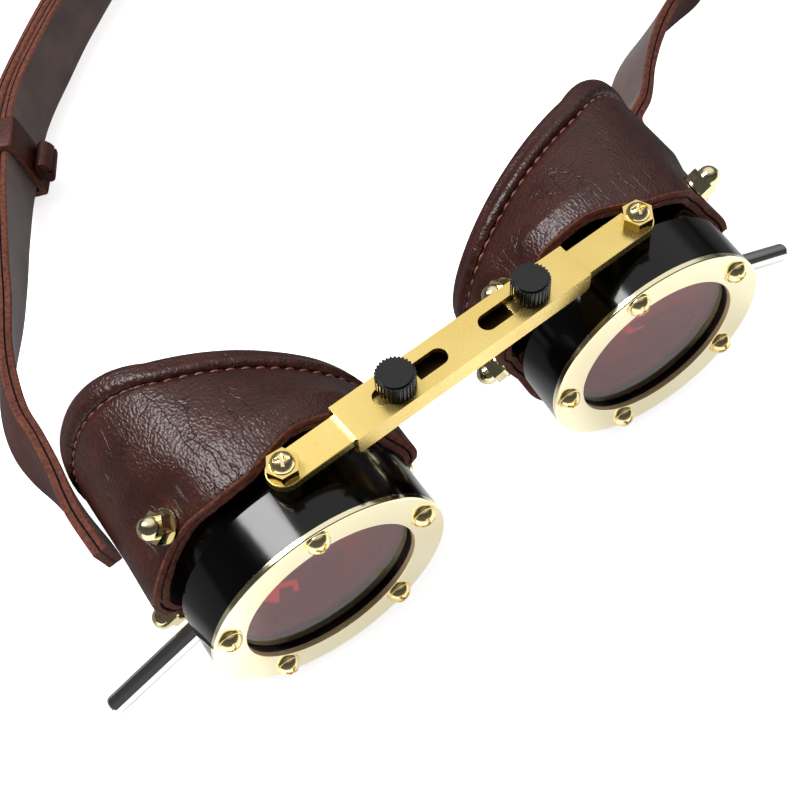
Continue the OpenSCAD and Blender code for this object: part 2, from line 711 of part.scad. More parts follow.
// Route of the strap's middle from the left cup round the back to the right cup: place, height above the
// barrels' axis, and how far its upper edge leans away from the loop. The points are for route_reach.
function cup_side(side, y, z) = on_goggle(side, [rim_mid_x + rim_temple + strap_t / 2 + strap_seat(y), y, z]);
function strap_seat(y) = 0.55 - 0.8 * clamp01((rim_y - y) / 12);
function lifted(p, lean) = [p[0], p[1], p[2], lean];
route_reach = 193;
function loose(x, y, z, lean) = let (k = strap_reach / route_reach) [k * x, k * y, k * z + axis_z, lean];
strap_route = [
    lifted(cup_side(left, 20, -6), 9), lifted(cup_side(left, 31, -6.2), 8), lifted(cup_side(left, 42, -6.6), -3),
    loose(-67.8, 54, -7.4, -14), loose(-67.2, 62, -8, -16), loose(-64.6, 71, -8.9, -16),
    loose(-60.2, 80, -10, -12), loose(-53.2, 91, -11.4, -4), loose(-46.8, 102, -12.6, 2),
    loose(-38, 117, -14.2, 8), loose(-28.6, 131.5, -16, 14), loose(-16.8, 146.5, -17.4, 17),
    loose(-3.2, 158, -17.8, 18), loose(11, 168, -17.4, 14), loose(27, 177, -16.4, 8),
    loose(44, 185, -16.6, 4), loose(64, 191, -17.2, 2), loose(86, 193, -17.8, 0),
    loose(108, 189, -17.8, 0), loose(129, 178, -17.4, 0), loose(146, 161, -16.6, 0),
    loose(157, 140, -16, 0), loose(160.5, 118, -14.6, 0), loose(158, 98, -13.2, 0),
    loose(151, 82, -11.8, 2), loose(142, 71.5, -10.6, 4), loose(132, 65.5, -9.6, 6),
    loose(121, 62.5, -8.8, 12), loose(112, 60, -8.3, 19), loose(103, 56, -7.9, 26),
    loose(94.5, 50.5, -7.6, 30), loose(87, 43.5, -7.5, 26),
    lifted(cup_side(right, 42, -7.4), 14), lifted(cup_side(right, 31, -7), 3), lifted(cup_side(right, 20, -6.6), 0)
];
route_end = len(strap_route) - 1;

// Smooth curve through the route's points
function route_at(t) =
    let (
        i = min(floor(t), route_end - 1), f = t - i,
        p0 = strap_route[max(i - 1, 0)], p1 = strap_route[i],
        p2 = strap_route[i + 1], p3 = strap_route[min(i + 2, route_end)])
    0.5 * (2 * p1 + (p2 - p0) * f + (2 * p0 - 5 * p1 + 4 * p2 - p3) * f * f
        + (3 * p1 - p0 - 3 * p2 + p3) * f * f * f);

// Across the strap, away from the loop, and up along its width, at a place on the route
function along_at(t) =
    let (d = route_at(min(t + 0.05, route_end)) - route_at(max(t - 0.05, 0))) unit([d[0], d[1], 0]);
function across_at(t) =
    let (d = along_at(t), n = [-d[1], d[0], 0], lean = route_at(t)[3]) n * cos(lean) - [0, 0, sin(lean)];
function up_at(t) =
    let (d = along_at(t), n = [-d[1], d[0], 0], lean = route_at(t)[3]) n * sin(lean) + [0, 0, cos(lean)];
function strap_ring(t, out, slant) =
    let (p = route_at(t), c = [p[0], p[1], p[2]] + across_at(t) * out, n = across_at(t) * strap_t / 2,
         u = up_at(t) * strap_w / 2, low = u + along_at(t) * slant)
    [c - n - low, c + n - low, c + n + u, c - n + u];
module strap_piece(from, to, outs = [[0, 0]], steps = 2, slant = 0) {
    n = max(1, round((to - from) * steps));
    skin([for (k = [0:n]) let (t = lerp(from, to, k / n))
        strap_ring(t, lookup(t, outs), t == 0 ? -slant : t == route_end ? slant : 0)]);
}

// Places along the route where one piece of strap gives way to the next
left_split = 4.5;
left_root = 8;
keeper_at = 10.1;
tail_at = 9.3;
bar_at = 14;
right_root = 25;
right_split = 29.5;
layer = strap_t + strap_gap;

end_slant = 4;
module strap_end(side) {
    color(strap_brown) {
        if (side < 0) strap_piece(0, left_split, slant = end_slant);
        else strap_piece(right_split, route_end, slant = end_slant);
    }
}

module strap_side(side) {
    color(strap_brown) {
        if (side < 0) strap_piece(left_split, left_root);
        else strap_piece(right_root, right_split);
    }
}

// Turns and moves what is drawn flat onto the strap: X along it, Y away from the loop, Z up its width
module on_strap(t, out = 0) {
    p = route_at(t);
    x = along_at(t);
    y = across_at(t);
    z = up_at(t);
    multmatrix([
        [x[0], y[0], z[0], p[0] + y[0] * out],
        [x[1], y[1], z[1], p[1] + y[1] * out],
        [x[2], y[2], z[2], p[2] + y[2] * out]]) children();
}

// The left strap ends in a fold round the buckle's bar, open in the middle for the prong
fold_gap = 4;
fold_ply = strap_t / 2;
bar_hole_r = buckle_wire / 2 + screw_gap;
module left_strap_rear() {
    color(strap_brown) {
        strap_piece(left_root, bar_at - 0.15);
        on_strap(bar_at) for (z = [-strap_w / 2, fold_gap / 2]) translate([0, 0, z])
            linear_extrude((strap_w - fold_gap) / 2) difference() {
                circle(r = bar_hole_r + fold_ply, $fn = 48);
                circle(r = bar_hole_r, $fn = 48);
            }
    }
}

// The right strap runs over the bar and on along the left strap, to its tail past the keeper
over_bar = bar_hole_r + fold_ply + strap_gap + strap_t / 2;
tongue_outs = [[bar_at - 0.6, layer], [bar_at, over_bar], [bar_at + 0.8, over_bar - 0.7], [bar_at + 3, 0]];
hole_count = 3;
hole_pitch = 18;
prong_x = 2.9;
module right_strap_rear() {
    hole_w = prong_d + 4 * screw_gap;
    play = (over_bar + strap_t / 2) * sin(prong_lift) + prong_x * (1 - cos(prong_lift));
    color(strap_brown) difference() {
        strap_piece(tail_at, right_root, tongue_outs, 4);
        on_strap(bar_at, over_bar) {
            translate([prong_x - play - hole_w / 2, -strap_t, -hole_w / 2]) cube([play + hole_w, 2 * strap_t, hole_w]);
            for (i = [1:hole_count]) translate([prong_x - i * hole_pitch, 0, 0]) rotate([90, 0, 0])
                cylinder(d = hole_w, h = 4 * strap_t, center = true, $fn = 32);
        }
    }
}

module strap_keeper() {
    room = 0.5;
    in_y = [-strap_t / 2 - room, layer + strap_t / 2 + room];
    in_z = strap_w / 2 + room;
    color(strap_brown) on_strap(keeper_at) translate([-keeper_w / 2, 0, 0]) difference() {
        translate([0, in_y[0] - keeper_t, -in_z - keeper_t])
            cube([keeper_w, in_y[1] - in_y[0] + 2 * keeper_t, 2 * (in_z + keeper_t)]);
        translate([-1, in_y[0], -in_z]) cube([keeper_w + 2, in_y[1] - in_y[0], 2 * in_z]);
    }
}

// Buckle: a wire frame that the tongue goes through, and the prong on its bar
frame_z = strap_w / 2 + buckle_wire / 2 + strap_gap;
module buckle_frame() {
    r = buckle_wire / 2;
    color(brass) on_strap(bar_at) rotate([0, 0, buckle_tilt]) {
        for (x = [0, buckle_l]) translate([x, 0, -frame_z]) cylinder(r = r, h = 2 * frame_z, $fn = 32);
        for (s = [-1, 1]) {
            translate([0, 0, s * frame_z]) rotate([0, 90, 0]) cylinder(r = r, h = buckle_l, $fn = 32);
            for (x = [0, buckle_l]) translate([x, 0, s * frame_z]) sphere(r = r, $fn = 32);
        }
    }
}

module buckle_prong() {
    r = prong_d / 2;
    eye_w = fold_gap - 1.2;
    eye_t = 1.1;
    top = over_bar + strap_t / 2 + r + 0.5;
    rest = [buckle_l * cos(buckle_tilt), buckle_l * sin(buckle_tilt) + buckle_wire / 2 + r + seat_gap];
    slope = atan2(rest[1] - top, rest[0] - prong_x);
    reach = norm([rest[0] - prong_x, rest[1] - top]) + 1.5;
    color(brass) on_strap(bar_at) {
        translate([0, 0, -eye_w / 2]) difference() {
            cylinder(r = bar_hole_r + eye_t, h = eye_w, $fn = 48);
            translate([0, 0, -1]) cylinder(r = bar_hole_r, h = eye_w + 2, $fn = 48);
        }
        translate([prong_x, -r, 0]) rotate([-90, 0, 0]) cylinder(r = r, h = top + r, $fn = 32);
        translate([prong_x, top, 0]) sphere(r = r * 1.02, $fn = 32);
        translate([prong_x, top, 0]) rotate([0, 0, slope]) rotate([0, 90, 0]) cylinder(r = r, h = reach, $fn = 32);
    }
}

bridge_sleeve();
left_strap_rear();
right_strap_rear();
strap_keeper();
buckle_frame();
buckle_prong();
arm(left);  // left_arm
knob(left);  // left_knob
strap_side(left);  // left_strap_side
strap_end(left);  // left_strap_end
barrel(left);  // left_barrel
front_ring(left);  // left_front_ring
ring_screws(left);  // left_ring_screws
gasket(left);  // left_gasket
lens(left);  // left_lens
iris_plate(left);  // left_iris_plate
blade(left, 0);  // left_blade_1
blade(left, 1);  // left_blade_2
blade(left, 2);  // left_blade_3
blade(left, 3);  // left_blade_4
blade(left, 4);  // left_blade_5
blade(left, 5);  // left_blade_6
iris_ring(left);  // left_iris_ring
lever(left);  // left_lever
retainer(left);  // left_retainer
cup(left);  // left_cup
rim(left);  // left_rim
cup_bolts(left);  // left_cup_bolts
acorn_nuts(left);  // left_acorn_nuts
pivot_screw(left);  // left_pivot_screw
pivot_nut(left);  // left_pivot_nut
pivot_spacer(left);  // left_pivot_spacer
arm(right);  // right_arm
knob(right);  // right_knob
strap_side(right);  // right_strap_side
strap_end(right);  // right_strap_end
barrel(right);  // right_barrel
front_ring(right);  // right_front_ring
ring_screws(right);  // right_ring_screws
gasket(right);  // right_gasket
lens(right);  // right_lens
iris_plate(right);  // right_iris_plate
blade(right, 0);  // right_blade_1
blade(right, 1);  // right_blade_2
blade(right, 2);  // right_blade_3
blade(right, 3);  // right_blade_4
blade(right, 4);  // right_blade_5
blade(right, 5);  // right_blade_6
iris_ring(right);  // right_iris_ring
lever(right);  // right_lever
retainer(right);  // right_retainer
cup(right);  // right_cup
rim(right);  // right_rim
cup_bolts(right);  // right_cup_bolts
acorn_nuts(right);  // right_acorn_nuts
pivot_screw(right);  // right_pivot_screw
pivot_nut(right);  // right_pivot_nut
pivot_spacer(right);  // right_pivot_spacer
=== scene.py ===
from math import ceil, cos, exp, floor, pi, radians, sin, tau

import bmesh
import bpy
from mathutils import Matrix, Vector, noise


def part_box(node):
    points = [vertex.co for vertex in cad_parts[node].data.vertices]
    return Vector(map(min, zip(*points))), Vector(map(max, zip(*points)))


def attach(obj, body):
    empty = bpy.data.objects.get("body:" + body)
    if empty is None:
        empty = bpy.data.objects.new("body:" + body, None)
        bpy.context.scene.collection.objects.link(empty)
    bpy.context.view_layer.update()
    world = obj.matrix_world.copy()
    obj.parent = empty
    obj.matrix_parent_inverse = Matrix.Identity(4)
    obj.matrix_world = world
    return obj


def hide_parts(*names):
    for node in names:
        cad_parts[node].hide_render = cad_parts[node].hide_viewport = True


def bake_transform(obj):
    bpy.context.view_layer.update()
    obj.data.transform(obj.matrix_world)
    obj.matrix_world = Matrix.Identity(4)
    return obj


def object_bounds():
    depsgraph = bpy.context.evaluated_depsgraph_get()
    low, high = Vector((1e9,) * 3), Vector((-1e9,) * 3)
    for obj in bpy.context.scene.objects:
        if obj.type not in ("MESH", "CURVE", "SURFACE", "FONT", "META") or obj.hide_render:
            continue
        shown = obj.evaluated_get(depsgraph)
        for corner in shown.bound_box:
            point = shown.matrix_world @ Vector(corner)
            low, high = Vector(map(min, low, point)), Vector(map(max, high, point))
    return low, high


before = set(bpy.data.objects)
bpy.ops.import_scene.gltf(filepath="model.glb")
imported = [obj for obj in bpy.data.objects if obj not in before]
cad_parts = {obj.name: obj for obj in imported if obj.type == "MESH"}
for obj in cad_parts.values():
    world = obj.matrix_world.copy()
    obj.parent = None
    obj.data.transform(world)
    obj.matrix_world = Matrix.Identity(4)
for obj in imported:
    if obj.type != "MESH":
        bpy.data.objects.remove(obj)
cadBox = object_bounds()
mm = 0.001
sideNames = ("left", "right")
sideSign = {"left": -1, "right": 1}

# View, as fitted to the photograph
camera = {
    "place": (-0.09596, -0.11789, 0.22731),
    "right": (0.7720, -0.6350, -0.0274),
    "up": (0.5433, 0.6370, 0.5469),
    "focalPixels": 1516.4,
    "imageWidth": 800,
    "centre": (432.88, 355.31),
    "sensorWidth": 36,
    "clip": (0.01, 20),
}


def inScene(name, data):
    thing = bpy.data.objects.new(name, data)
    bpy.context.scene.collection.objects.link(thing)
    return thing


def addCamera(c):
    data = bpy.data.cameras.new("studioCamera")
    data.sensor_width = c["sensorWidth"]
    data.lens = c["focalPixels"] / c["imageWidth"] * c["sensorWidth"]
    half = c["imageWidth"] / 2
    data.shift_x = (half - c["centre"][0]) / c["imageWidth"]
    data.shift_y = (c["centre"][1] - half) / c["imageWidth"]
    data.clip_start, data.clip_end = c["clip"]
    x, y = Vector(c["right"]).normalized(), Vector(c["up"]).normalized()
    z = x.cross(y).normalized()
    y = z.cross(x)
    turn = Matrix((x, y, z)).transposed().to_4x4()
    holder = inScene("studioCamera", data)
    holder.matrix_world = Matrix.Translation(Vector(c["place"])) @ turn
    bpy.context.scene.camera = holder


addCamera(camera)
print("camera placed")


# Materials

def srgb(hexColour):
    channels = [int(hexColour[i:i + 2], 16) / 255 for i in (1, 3, 5)]
    linear = [c / 12.92 if c <= 0.04045 else ((c + 0.055) / 1.055) ** 2.4 for c in channels]
    return (*linear, 1.0)


def addNode(tree, kind, settings=None, links=None):
    # settings: attribute or input values; links: input -> source; a source is (node, output)
    node = tree.nodes.new("ShaderNode" + kind)
    for key, value in (settings or {}).items():
        if isinstance(key, int) or key in node.inputs:
            node.inputs[key].default_value = value
        else:
            setattr(node, key, value)
    for key, source in (links or {}).items():
        link(tree, source, node, key)
    return node


def link(tree, source, target, socket):
    node, output = source
    tree.links.new(node.outputs[output], target.inputs[socket])


def newMaterial(name, values):
    # the last value is the source of the object's coordinates
    material = bpy.data.materials.new(name)
    material.use_nodes = True
    tree = material.node_tree
    shader = tree.nodes["Principled BSDF"]
    for key, value in values.items():
        shader.inputs[key].default_value = value
    return material, tree, shader, (addNode(tree, "TexCoord"), "Object")


# The next five each give a source.
def addRamp(tree, source, stops, interpolation="LINEAR"):
    # stops: [(position, colour), ...]
    node = addNode(tree, "ValToRGB", links={"Fac": source})
    band = node.color_ramp
    band.interpolation = interpolation
    while len(band.elements) < len(stops):
        band.elements.new(0.5)
    for element, (place, colour) in zip(band.elements, stops):
        element.position = place
        element.color = colour
    return node, "Color"


def addNoise(tree, source, pitch, output="Fac", **settings):
    # patches about pitch mm apart
    return addNode(tree, "TexNoise", {"Scale": 1 / (pitch * mm), **settings}, {"Vector": source}), output


def addRange(tree, source, limits):
    return addNode(tree, "MapRange", limits, {"Value": source}), "Result"


def addMath(tree, operation, links, fixed=None):
    return addNode(tree, "Math", {"operation": operation, **(fixed or {})}, links), "Value"


def addMix(tree, links, colours=None):
    # inputs 6 and 7 are the colours
    return addNode(tree, "Mix", {"data_type": "RGBA", **(colours or {})}, links), 2


def addBump(tree, shader, source, strength, depth):
    bump = addNode(tree, "Bump", {"Strength": strength, "Distance": depth}, {"Height": source})
    link(tree, (bump, "Normal"), shader, "Normal")


def grey(value):
    return (value, value, value, 1)


# Finished full-grain leather, glazed: pebbled grain of about half a millimetre, a few long thin creases
# from front to back where the hide bends, darkened with painted shade, and slightly uneven dye. Pitches are
# in mm.
hide = {
    "dyePitch": 9, "warpPitch": 5, "pebblePitch": 0.5, "porePitch": 0.45, "wrinklePitch": 1.9,
    "warp": (0.0024, 0.0024, 0.0024),
    # pebbles are a little longer across the hide than along it
    "pebbleScale": (1.0, 0.72, 1.0),
    # creases run back from the lens side in some patches, so their cells are drawn out along Y
    "creaseScale": (1.0, 0.08, 1.0), "creaseEdge": 0.032,
    "patchPitch": 8, "patchLow": 0.47, "patchHigh": 0.6,
    # shares of each in the relief
    "pebbles": 1.3, "pores": 0.45, "wrinkles": 0.7, "creases": -0.9,
    # painted shade darkens the base colour in the creases
    "paintedCreaseShade": 0.55,
    "smoother": -0.06, "duller": 0.08,
}


def glazedLeather(name, shades, roughness, gloss, grainDepth, creasePitch):
    material, tree, shader, place = newMaterial(
        name, {"Roughness": roughness, "IOR": 1.45, "Specular IOR Level": gloss})
    dye = addNoise(tree, place, hide["dyePitch"], Detail=6, Roughness=0.7)
    colours = addRamp(tree, dye, [(stop, srgb(shade)) for stop, shade in zip((0.3, 0.52, 0.75), shades)])
    warp = addNoise(tree, place, hide["warpPitch"], "Color", Detail=2)
    warped = addNode(tree, "VectorMath", {"operation": "MULTIPLY_ADD", 1: hide["warp"]}, {0: warp, 2: place})
    lay = (addNode(tree, "Mapping", {"Scale": hide["pebbleScale"]}, {"Vector": place}), "Vector")
    cells = {"Scale": 1 / (hide["pebblePitch"] * mm), "feature": "SMOOTH_F1", "Smoothness": 0.75}
    pebbles = (addNode(tree, "TexVoronoi", cells, {"Vector": lay}), "Distance")
    pores = addNoise(tree, lay, hide["porePitch"], Detail=3)
    wrinkles = addNoise(tree, lay, hide["wrinklePitch"], Detail=2, Roughness=0.5)
    stretch = addNode(tree, "Mapping", {"Scale": hide["creaseScale"]}, {"Vector": (warped, "Vector")})
    cells = {"Scale": 1 / (creasePitch * mm), "feature": "DISTANCE_TO_EDGE"}
    folds = addNode(tree, "TexVoronoi", cells, {"Vector": (stretch, "Vector")})
    limits = {"From Max": hide["creaseEdge"], "To Min": 1.0, "To Max": 0.0}
    crease = addRange(tree, (folds, "Distance"), limits)
    patches = addNoise(tree, place, hide["patchPitch"], Detail=2)
    where = addRange(tree, patches, {"From Min": hide["patchLow"], "From Max": hide["patchHigh"]})
    creases = addMath(tree, "MULTIPLY", {0: crease, 1: where})
    height = addMath(tree, "MULTIPLY", {0: pebbles}, {1: hide["pebbles"]})
    for share, source in {"pores": pores, "wrinkles": wrinkles, "creases": creases}.items():
        height = addMath(tree, "MULTIPLY_ADD", {0: source, 2: height}, {1: hide[share]})
    addBump(tree, shader, height, 0.8, grainDepth)
    # painted shade: the base colour is darkened in the creases
    shade = addRange(tree, creases, {"To Min": 1.0, "To Max": hide["paintedCreaseShade"]})
    creaseShadedColours = addNode(tree, "VectorMath", {"operation": "SCALE"}, {0: colours, "Scale": shade})
    link(tree, (creaseShadedColours, "Vector"), shader, "Base Color")
    limits = {"To Min": roughness + hide["smoother"], "To Max": roughness + hide["duller"]}
    link(tree, addRange(tree, dye, limits), shader, "Roughness")
    return material


# Raw cut edge of vegetable-tanned leather: open fibres, paler and redder than the dyed face.
def cutEdge(name, dark, light):
    material, tree, shader, place = newMaterial(name, {"Roughness": 0.85, "IOR": 1.4})
    fibres = addNoise(tree, place, 0.9, Detail=6, Roughness=0.7)
    link(tree, addRamp(tree, fibres, [(0.32, srgb(dark)), (0.68, srgb(light))]), shader, "Base Color")
    addBump(tree, shader, fibres, 0.7, 0.00035)
    return material


# Smooth lining leather, matt with a dull sheen.
def liningLeather(name, dark, light, roughness):
    material, tree, shader, place = newMaterial(
        name, {"Roughness": roughness, "IOR": 1.45, "Sheen Weight": 0.25, "Sheen Roughness": 0.5})
    patches = addNoise(tree, place, 9, Detail=5)
    link(tree, addRamp(tree, patches, [(0.35, srgb(dark)), (0.7, srgb(light))]), shader, "Base Color")
    grain = addNode(tree, "TexVoronoi", {"Scale": 1 / (0.7 * mm), "feature": "SMOOTH_F1"}, {"Vector": place})
    addBump(tree, shader, (grain, "Distance"), 0.35, 0.00012)
    return material


# Metals and thread: fine grit or brushing under a clear lacquer. grain is the scratch or blast pitch in mm.
def finishedMetal(name, colour, shade, roughness, grain, depth, stretch=(1, 1, 1), speckle=None, metal=1.0):
    material, tree, shader, place = newMaterial(name, {"Metallic": metal, "Roughness": roughness})
    lay = addNode(tree, "Mapping", {"Scale": stretch}, {"Vector": place})
    grit = addNoise(tree, (lay, "Vector"), grain, Detail=4, Roughness=0.65)
    cloud = addNoise(tree, place, 12, Detail=3)
    tone = addRamp(tree, cloud, [(0.3, srgb(shade)), (0.65, srgb(colour))])
    if speckle:
        # the darker pits that blasting leaves under the plating
        pits = addRange(tree, grit, {"From Min": 0.6, "From Max": 0.72})
        tone = addMix(tree, {0: pits, 6: tone}, {7: srgb(speckle)})
    link(tree, tone, shader, "Base Color")
    rough = addRange(tree, grit, {"To Min": roughness * 0.75, "To Max": roughness * 1.3})
    link(tree, rough, shader, "Roughness")
    addBump(tree, shader, grit, 0.25, depth)
    return material


# Moulded or sprayed gloss black: almost flat, with the faint orange peel of the coat.
def blackGloss(name, colour, roughness, gloss):
    material, tree, shader, place = newMaterial(
        name, {"Base Color": srgb(colour), "Roughness": roughness, "Specular IOR Level": gloss})
    peel = addNoise(tree, place, 2.5, Detail=2)
    link(tree, addRange(tree, peel, {"To Min": roughness, "To Max": roughness + 0.06}), shader, "Roughness")
    addBump(tree, shader, peel, 0.12, 0.00004)
    return material


# Dyed-through red glass: reflects the floor at its front and lets red light through to the blades.
def redGlass(name, colour):
    values = {"Roughness": 0.0, "IOR": 1.5, "Specular IOR Level": 0.2, "Transmission Weight": 1.0}
    material, tree, shader, place = newMaterial(name, {"Base Color": srgb(colour), **values})
    smear = addRange(tree, addNoise(tree, place, 16, Detail=2), {"To Min": 0.0, "To Max": 0.05})
    link(tree, smear, shader, "Roughness")
    light = addNode(tree, "LightPath")
    clear = addNode(tree, "BsdfTransparent", {"Color": srgb(colour)})
    both = addNode(tree, "MixShader", links={
        0: (light, "Is Shadow Ray"), 1: (shader, "BSDF"), 2: (clear, "BSDF")})
    link(tree, (both, "Shader"), tree.nodes["Material Output"], "Surface")
    return material


# roughness, gloss, depth of the grain in m, pitch of the creases in mm
cupShades, strapShades = ("#280f0b", "#33140e", "#3e1b14"), ("#30130d", "#3e1a13", "#4c231a")
leatherCup = glazedLeather("oxbloodGlazedLeather", cupShades, 0.34, 0.46, 0.00013, 3.0)
leatherStrap = glazedLeather("strapGlazedLeather", strapShades, 0.38, 0.38, 0.00012, 2.6)
edgeLeather = cutEdge("rawCutEdge", "#3a160f", "#74402f")
edgeDark = cutEdge("gluedPlyLine", "#120605", "#240e0a")
lining = liningLeather("strapLiningLeather", "#3a2723", "#523a34", 0.52)
cupLining = liningLeather("cupLiningLeather", "#231512", "#33201b", 0.6)
# colour, shade, roughness, pitch of the grain in mm, its depth in m
thread = finishedMetal("waxedThread", "#7c4a40", "#5a2f27", 0.45, 0.25, 0.0001, metal=0.0)
satinGold = finishedMetal("satinGoldPlate", "#eed486", "#e7c976", 0.27, 0.2, 0.000025, speckle="#c9a24e")
# dark brass for the inside of the sleeve's channel: painted shade
channelShadeBrass = finishedMetal("channelShadeBrass", "#3a2a14", "#241a0e", 0.5, 0.3, 0.00003)
paleGold = finishedMetal("polishedPaleGold", "#f4ebc8", "#f0e4ba", 0.1, 0.6, 0.000006)
brightBrass = finishedMetal("polishedBrass", "#f4d88a", "#eccb74", 0.14, 0.5, 0.000008)
acornBrass = finishedMetal("polishedPaleBrass", "#f1e6bd", "#e9dba8", 0.12, 0.5, 0.000008)
darkSteel = finishedMetal("blackenedSteel", "#2e2426", "#201819", 0.35, 0.4, 0.00002)
bladeSteel = finishedMetal("bladeSteel", "#4a4444", "#2a2424", 0.26, 0.15, 0.00001, (1, 1, 6))
chrome = finishedMetal("chromedRod", "#e6e4e2", "#dcdad8", 0.07, 0.5, 0.000004)
tongueSteel = finishedMetal("brightSteelTongue", "#e2dcdc", "#a09898", 0.4, 2.0, 0.000004)
# the ring's lip: brushed, and a lighter gold than the ring as a painted highlight
lipGoldPaintedHighlight = finishedMetal("brushedGoldLipPaintedHighlight", "#fff2cc", "#f6e2aa", 0.6, 0.3, 0.000006)
screwBrass = finishedMetal("screwHeadBrass", "#f8e8b8", "#f0d896", 0.2, 0.5, 0.000008)
# colour, roughness, gloss
barrelBlack = blackGloss("glossBlackBarrel", "#020202", 0.08, 0.31)
knobBlack = blackGloss("blackAnodisedKnob", "#080808", 0.24, 0.42)
gasketBlack = blackGloss("rubberGasket", "#050505", 0.3, 0.3)
lensRed = redGlass("redLensGlass", "#ec5e66")
print("materials made")


def selectOnly(piece, *others):
    bpy.ops.object.select_all(action="DESELECT")
    for other in (piece, *others):
        other.select_set(True)
    bpy.context.view_layer.objects.active = piece


def applyModifiers(piece):
    selectOnly(piece)
    for modifier in list(piece.modifiers):
        bpy.ops.object.modifier_apply(modifier=modifier.name)


def shadeSmooth(piece, angle):
    selectOnly(piece)
    bpy.ops.object.shade_smooth_by_angle(angle=radians(angle))


def coat(piece, material):
    piece.data.materials.clear()
    piece.data.materials.append(material)


def added(kind, name, **sizes):
    bpy.ops.object.select_all(action="DESELECT")
    getattr(bpy.ops.mesh, "primitive_" + kind + "_add")(**sizes)
    piece = bpy.context.active_object
    piece.name = name
    return piece


def settle(piece):
    # size and turn given to the object go into its mesh
    selectOnly(piece)
    bpy.ops.object.transform_apply(location=True, rotation=True, scale=True)


def cutBy(piece, cutter):
    cut = piece.modifiers.new("cut", "BOOLEAN")
    cut.solver = "EXACT"
    cut.object = cutter
    applyModifiers(piece)
    bpy.data.objects.remove(cutter)


def roundEdges(piece, width, segments):
    edge = piece.modifiers.new("edge", "BEVEL")
    edge.width = width * mm
    edge.segments = segments
    edge.angle_limit = radians(40)
    applyModifiers(piece)


def meshPiece(name, shape, materials):
    mesh = bpy.data.meshes.new(name)
    shape.to_mesh(mesh)
    shape.free()
    for material in materials:
        mesh.materials.append(material)
    return inScene(name, mesh)


# Rigid nodes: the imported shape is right, so a copy only has its sharp edges broken
def brokenEdges(node, name, material, width, body, segments=2, inside=None):
    # inside: (material, test) gives the faces whose middle passes the test another material
    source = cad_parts[node]
    piece = inScene(name, source.data.copy())
    coat(piece, material)
    shape = bmesh.new()
    shape.from_mesh(piece.data)
    bmesh.ops.remove_doubles(shape, verts=shape.verts, dist=1e-6)
    bmesh.ops.dissolve_limit(shape, angle_limit=radians(0.6), verts=shape.verts, edges=shape.edges)
    shape.to_mesh(piece.data)
    shape.free()
    if piece.data.has_custom_normals:
        selectOnly(piece)
        bpy.ops.mesh.customdata_custom_splitnormals_clear()
    bevel = piece.modifiers.new("brokenEdge", "BEVEL")
    bevel.width = width * mm
    bevel.segments = segments
    bevel.angle_limit = radians(32)
    bevel.miter_outer = "MITER_ARC"
    applyModifiers(piece)
    if inside:
        second, test = inside
        piece.data.materials.append(second)
        for face in piece.data.polygons:
            face.material_index = 1 if test(face) else 0
    shadeSmooth(piece, 50)
    # large faces keep their own normal, so that they stay flat beside the broken edge
    weighted = piece.modifiers.new("flatFaces", "WEIGHTED_NORMAL")
    weighted.weight = 90
    weighted.keep_sharp = True
    applyModifiers(piece)
    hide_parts(node)
    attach(piece, body)


bridgeFinish = {"edge": 0.16, "armEdge": 0.14, "channelHalf": 3.4, "channelTop": -1.2, "channelBottom": -3.6}


def inChannel(face):
    # the faces inside the sleeve, which get a dark brass as painted shade
    centre = face.center / mm
    f = bridgeFinish
    inside = abs(centre.y) < f["channelHalf"] and f["channelBottom"] < centre.z < f["channelTop"]
    return inside and abs(face.normal.x) < 0.5


brokenEdges("bridge_sleeve", "sleeve", satinGold, bridgeFinish["edge"], "bridge",
            inside=(channelShadeBrass, inChannel))
for side in sideNames:
    arm = side + "_arm"
    brokenEdges(arm, side + "ArmBar", satinGold, bridgeFinish["armEdge"], arm)

eyepieceFinish = {
    "acorn_nuts": acornBrass, "cup_bolts": acornBrass, "pivot_nut": brightBrass, "pivot_spacer": brightBrass,
    "iris_plate": darkSteel, "iris_ring": darkSteel, "retainer": darkSteel,
    "lever": chrome, "knob": knobBlack, "barrel": barrelBlack,
}
for side in sideNames:
    for node, material in eyepieceFinish.items():
        coat(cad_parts[side + "_" + node], material)
    for number in range(1, 7):
        coat(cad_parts[f"{side}_blade_{number}"], bladeSteel)
for node in ("buckle_frame", "buckle_prong"):
    coat(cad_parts[node], brightBrass)
print("metal finished")


# Where an eyepiece stands: its pivot nut gives the pivot, its front ring the height of its axis
toeIn = {"left": -5.3, "right": -7.6}


def eyepieceFrame(side):
    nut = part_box(side + "_pivot_nut")
    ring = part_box(side + "_front_ring")
    pivot = (nut[0] + nut[1]) / 2
    return {"sign": sideSign[side], "origin": Vector((pivot.x, pivot.y, (ring[0].z + ring[1].z) / 2)),
            "turn": Matrix.Rotation(radians(toeIn[side]), 3, "Z"), "nutTop": nut[1].z}


eyepieces = {side: eyepieceFrame(side) for side in sideNames}
standHeight = cadBox[0].z


def onEyepiece(side, p):
    # p: towards the temple, back and up from the barrel's axis at the pivot, in mm
    e = eyepieces[side]
    return e["origin"] + e["turn"] @ (Vector((e["sign"] * p[0], p[1], p[2])) * mm)


def eyepiecePlace(side, p, turn=0):
    # puts a piece drawn along +Z so that it faces out of the lens, at p in mm
    e = eyepieces[side]
    out = e["turn"] @ Vector((0, -1, 0))
    across = e["turn"] @ Vector((e["sign"], 0, 0))
    axes = Matrix((across, out.cross(across), out)).transposed().to_4x4()
    return Matrix.Translation(onEyepiece(side, p)) @ axes @ Matrix.Rotation(radians(turn), 4, "Z")


# Front rings, rounded, with the lip that faces the lens brushed and made a lighter gold as a painted
# highlight
frontRing = {"edge": 0.38, "segments": 4, "lipFacing": 0.6}

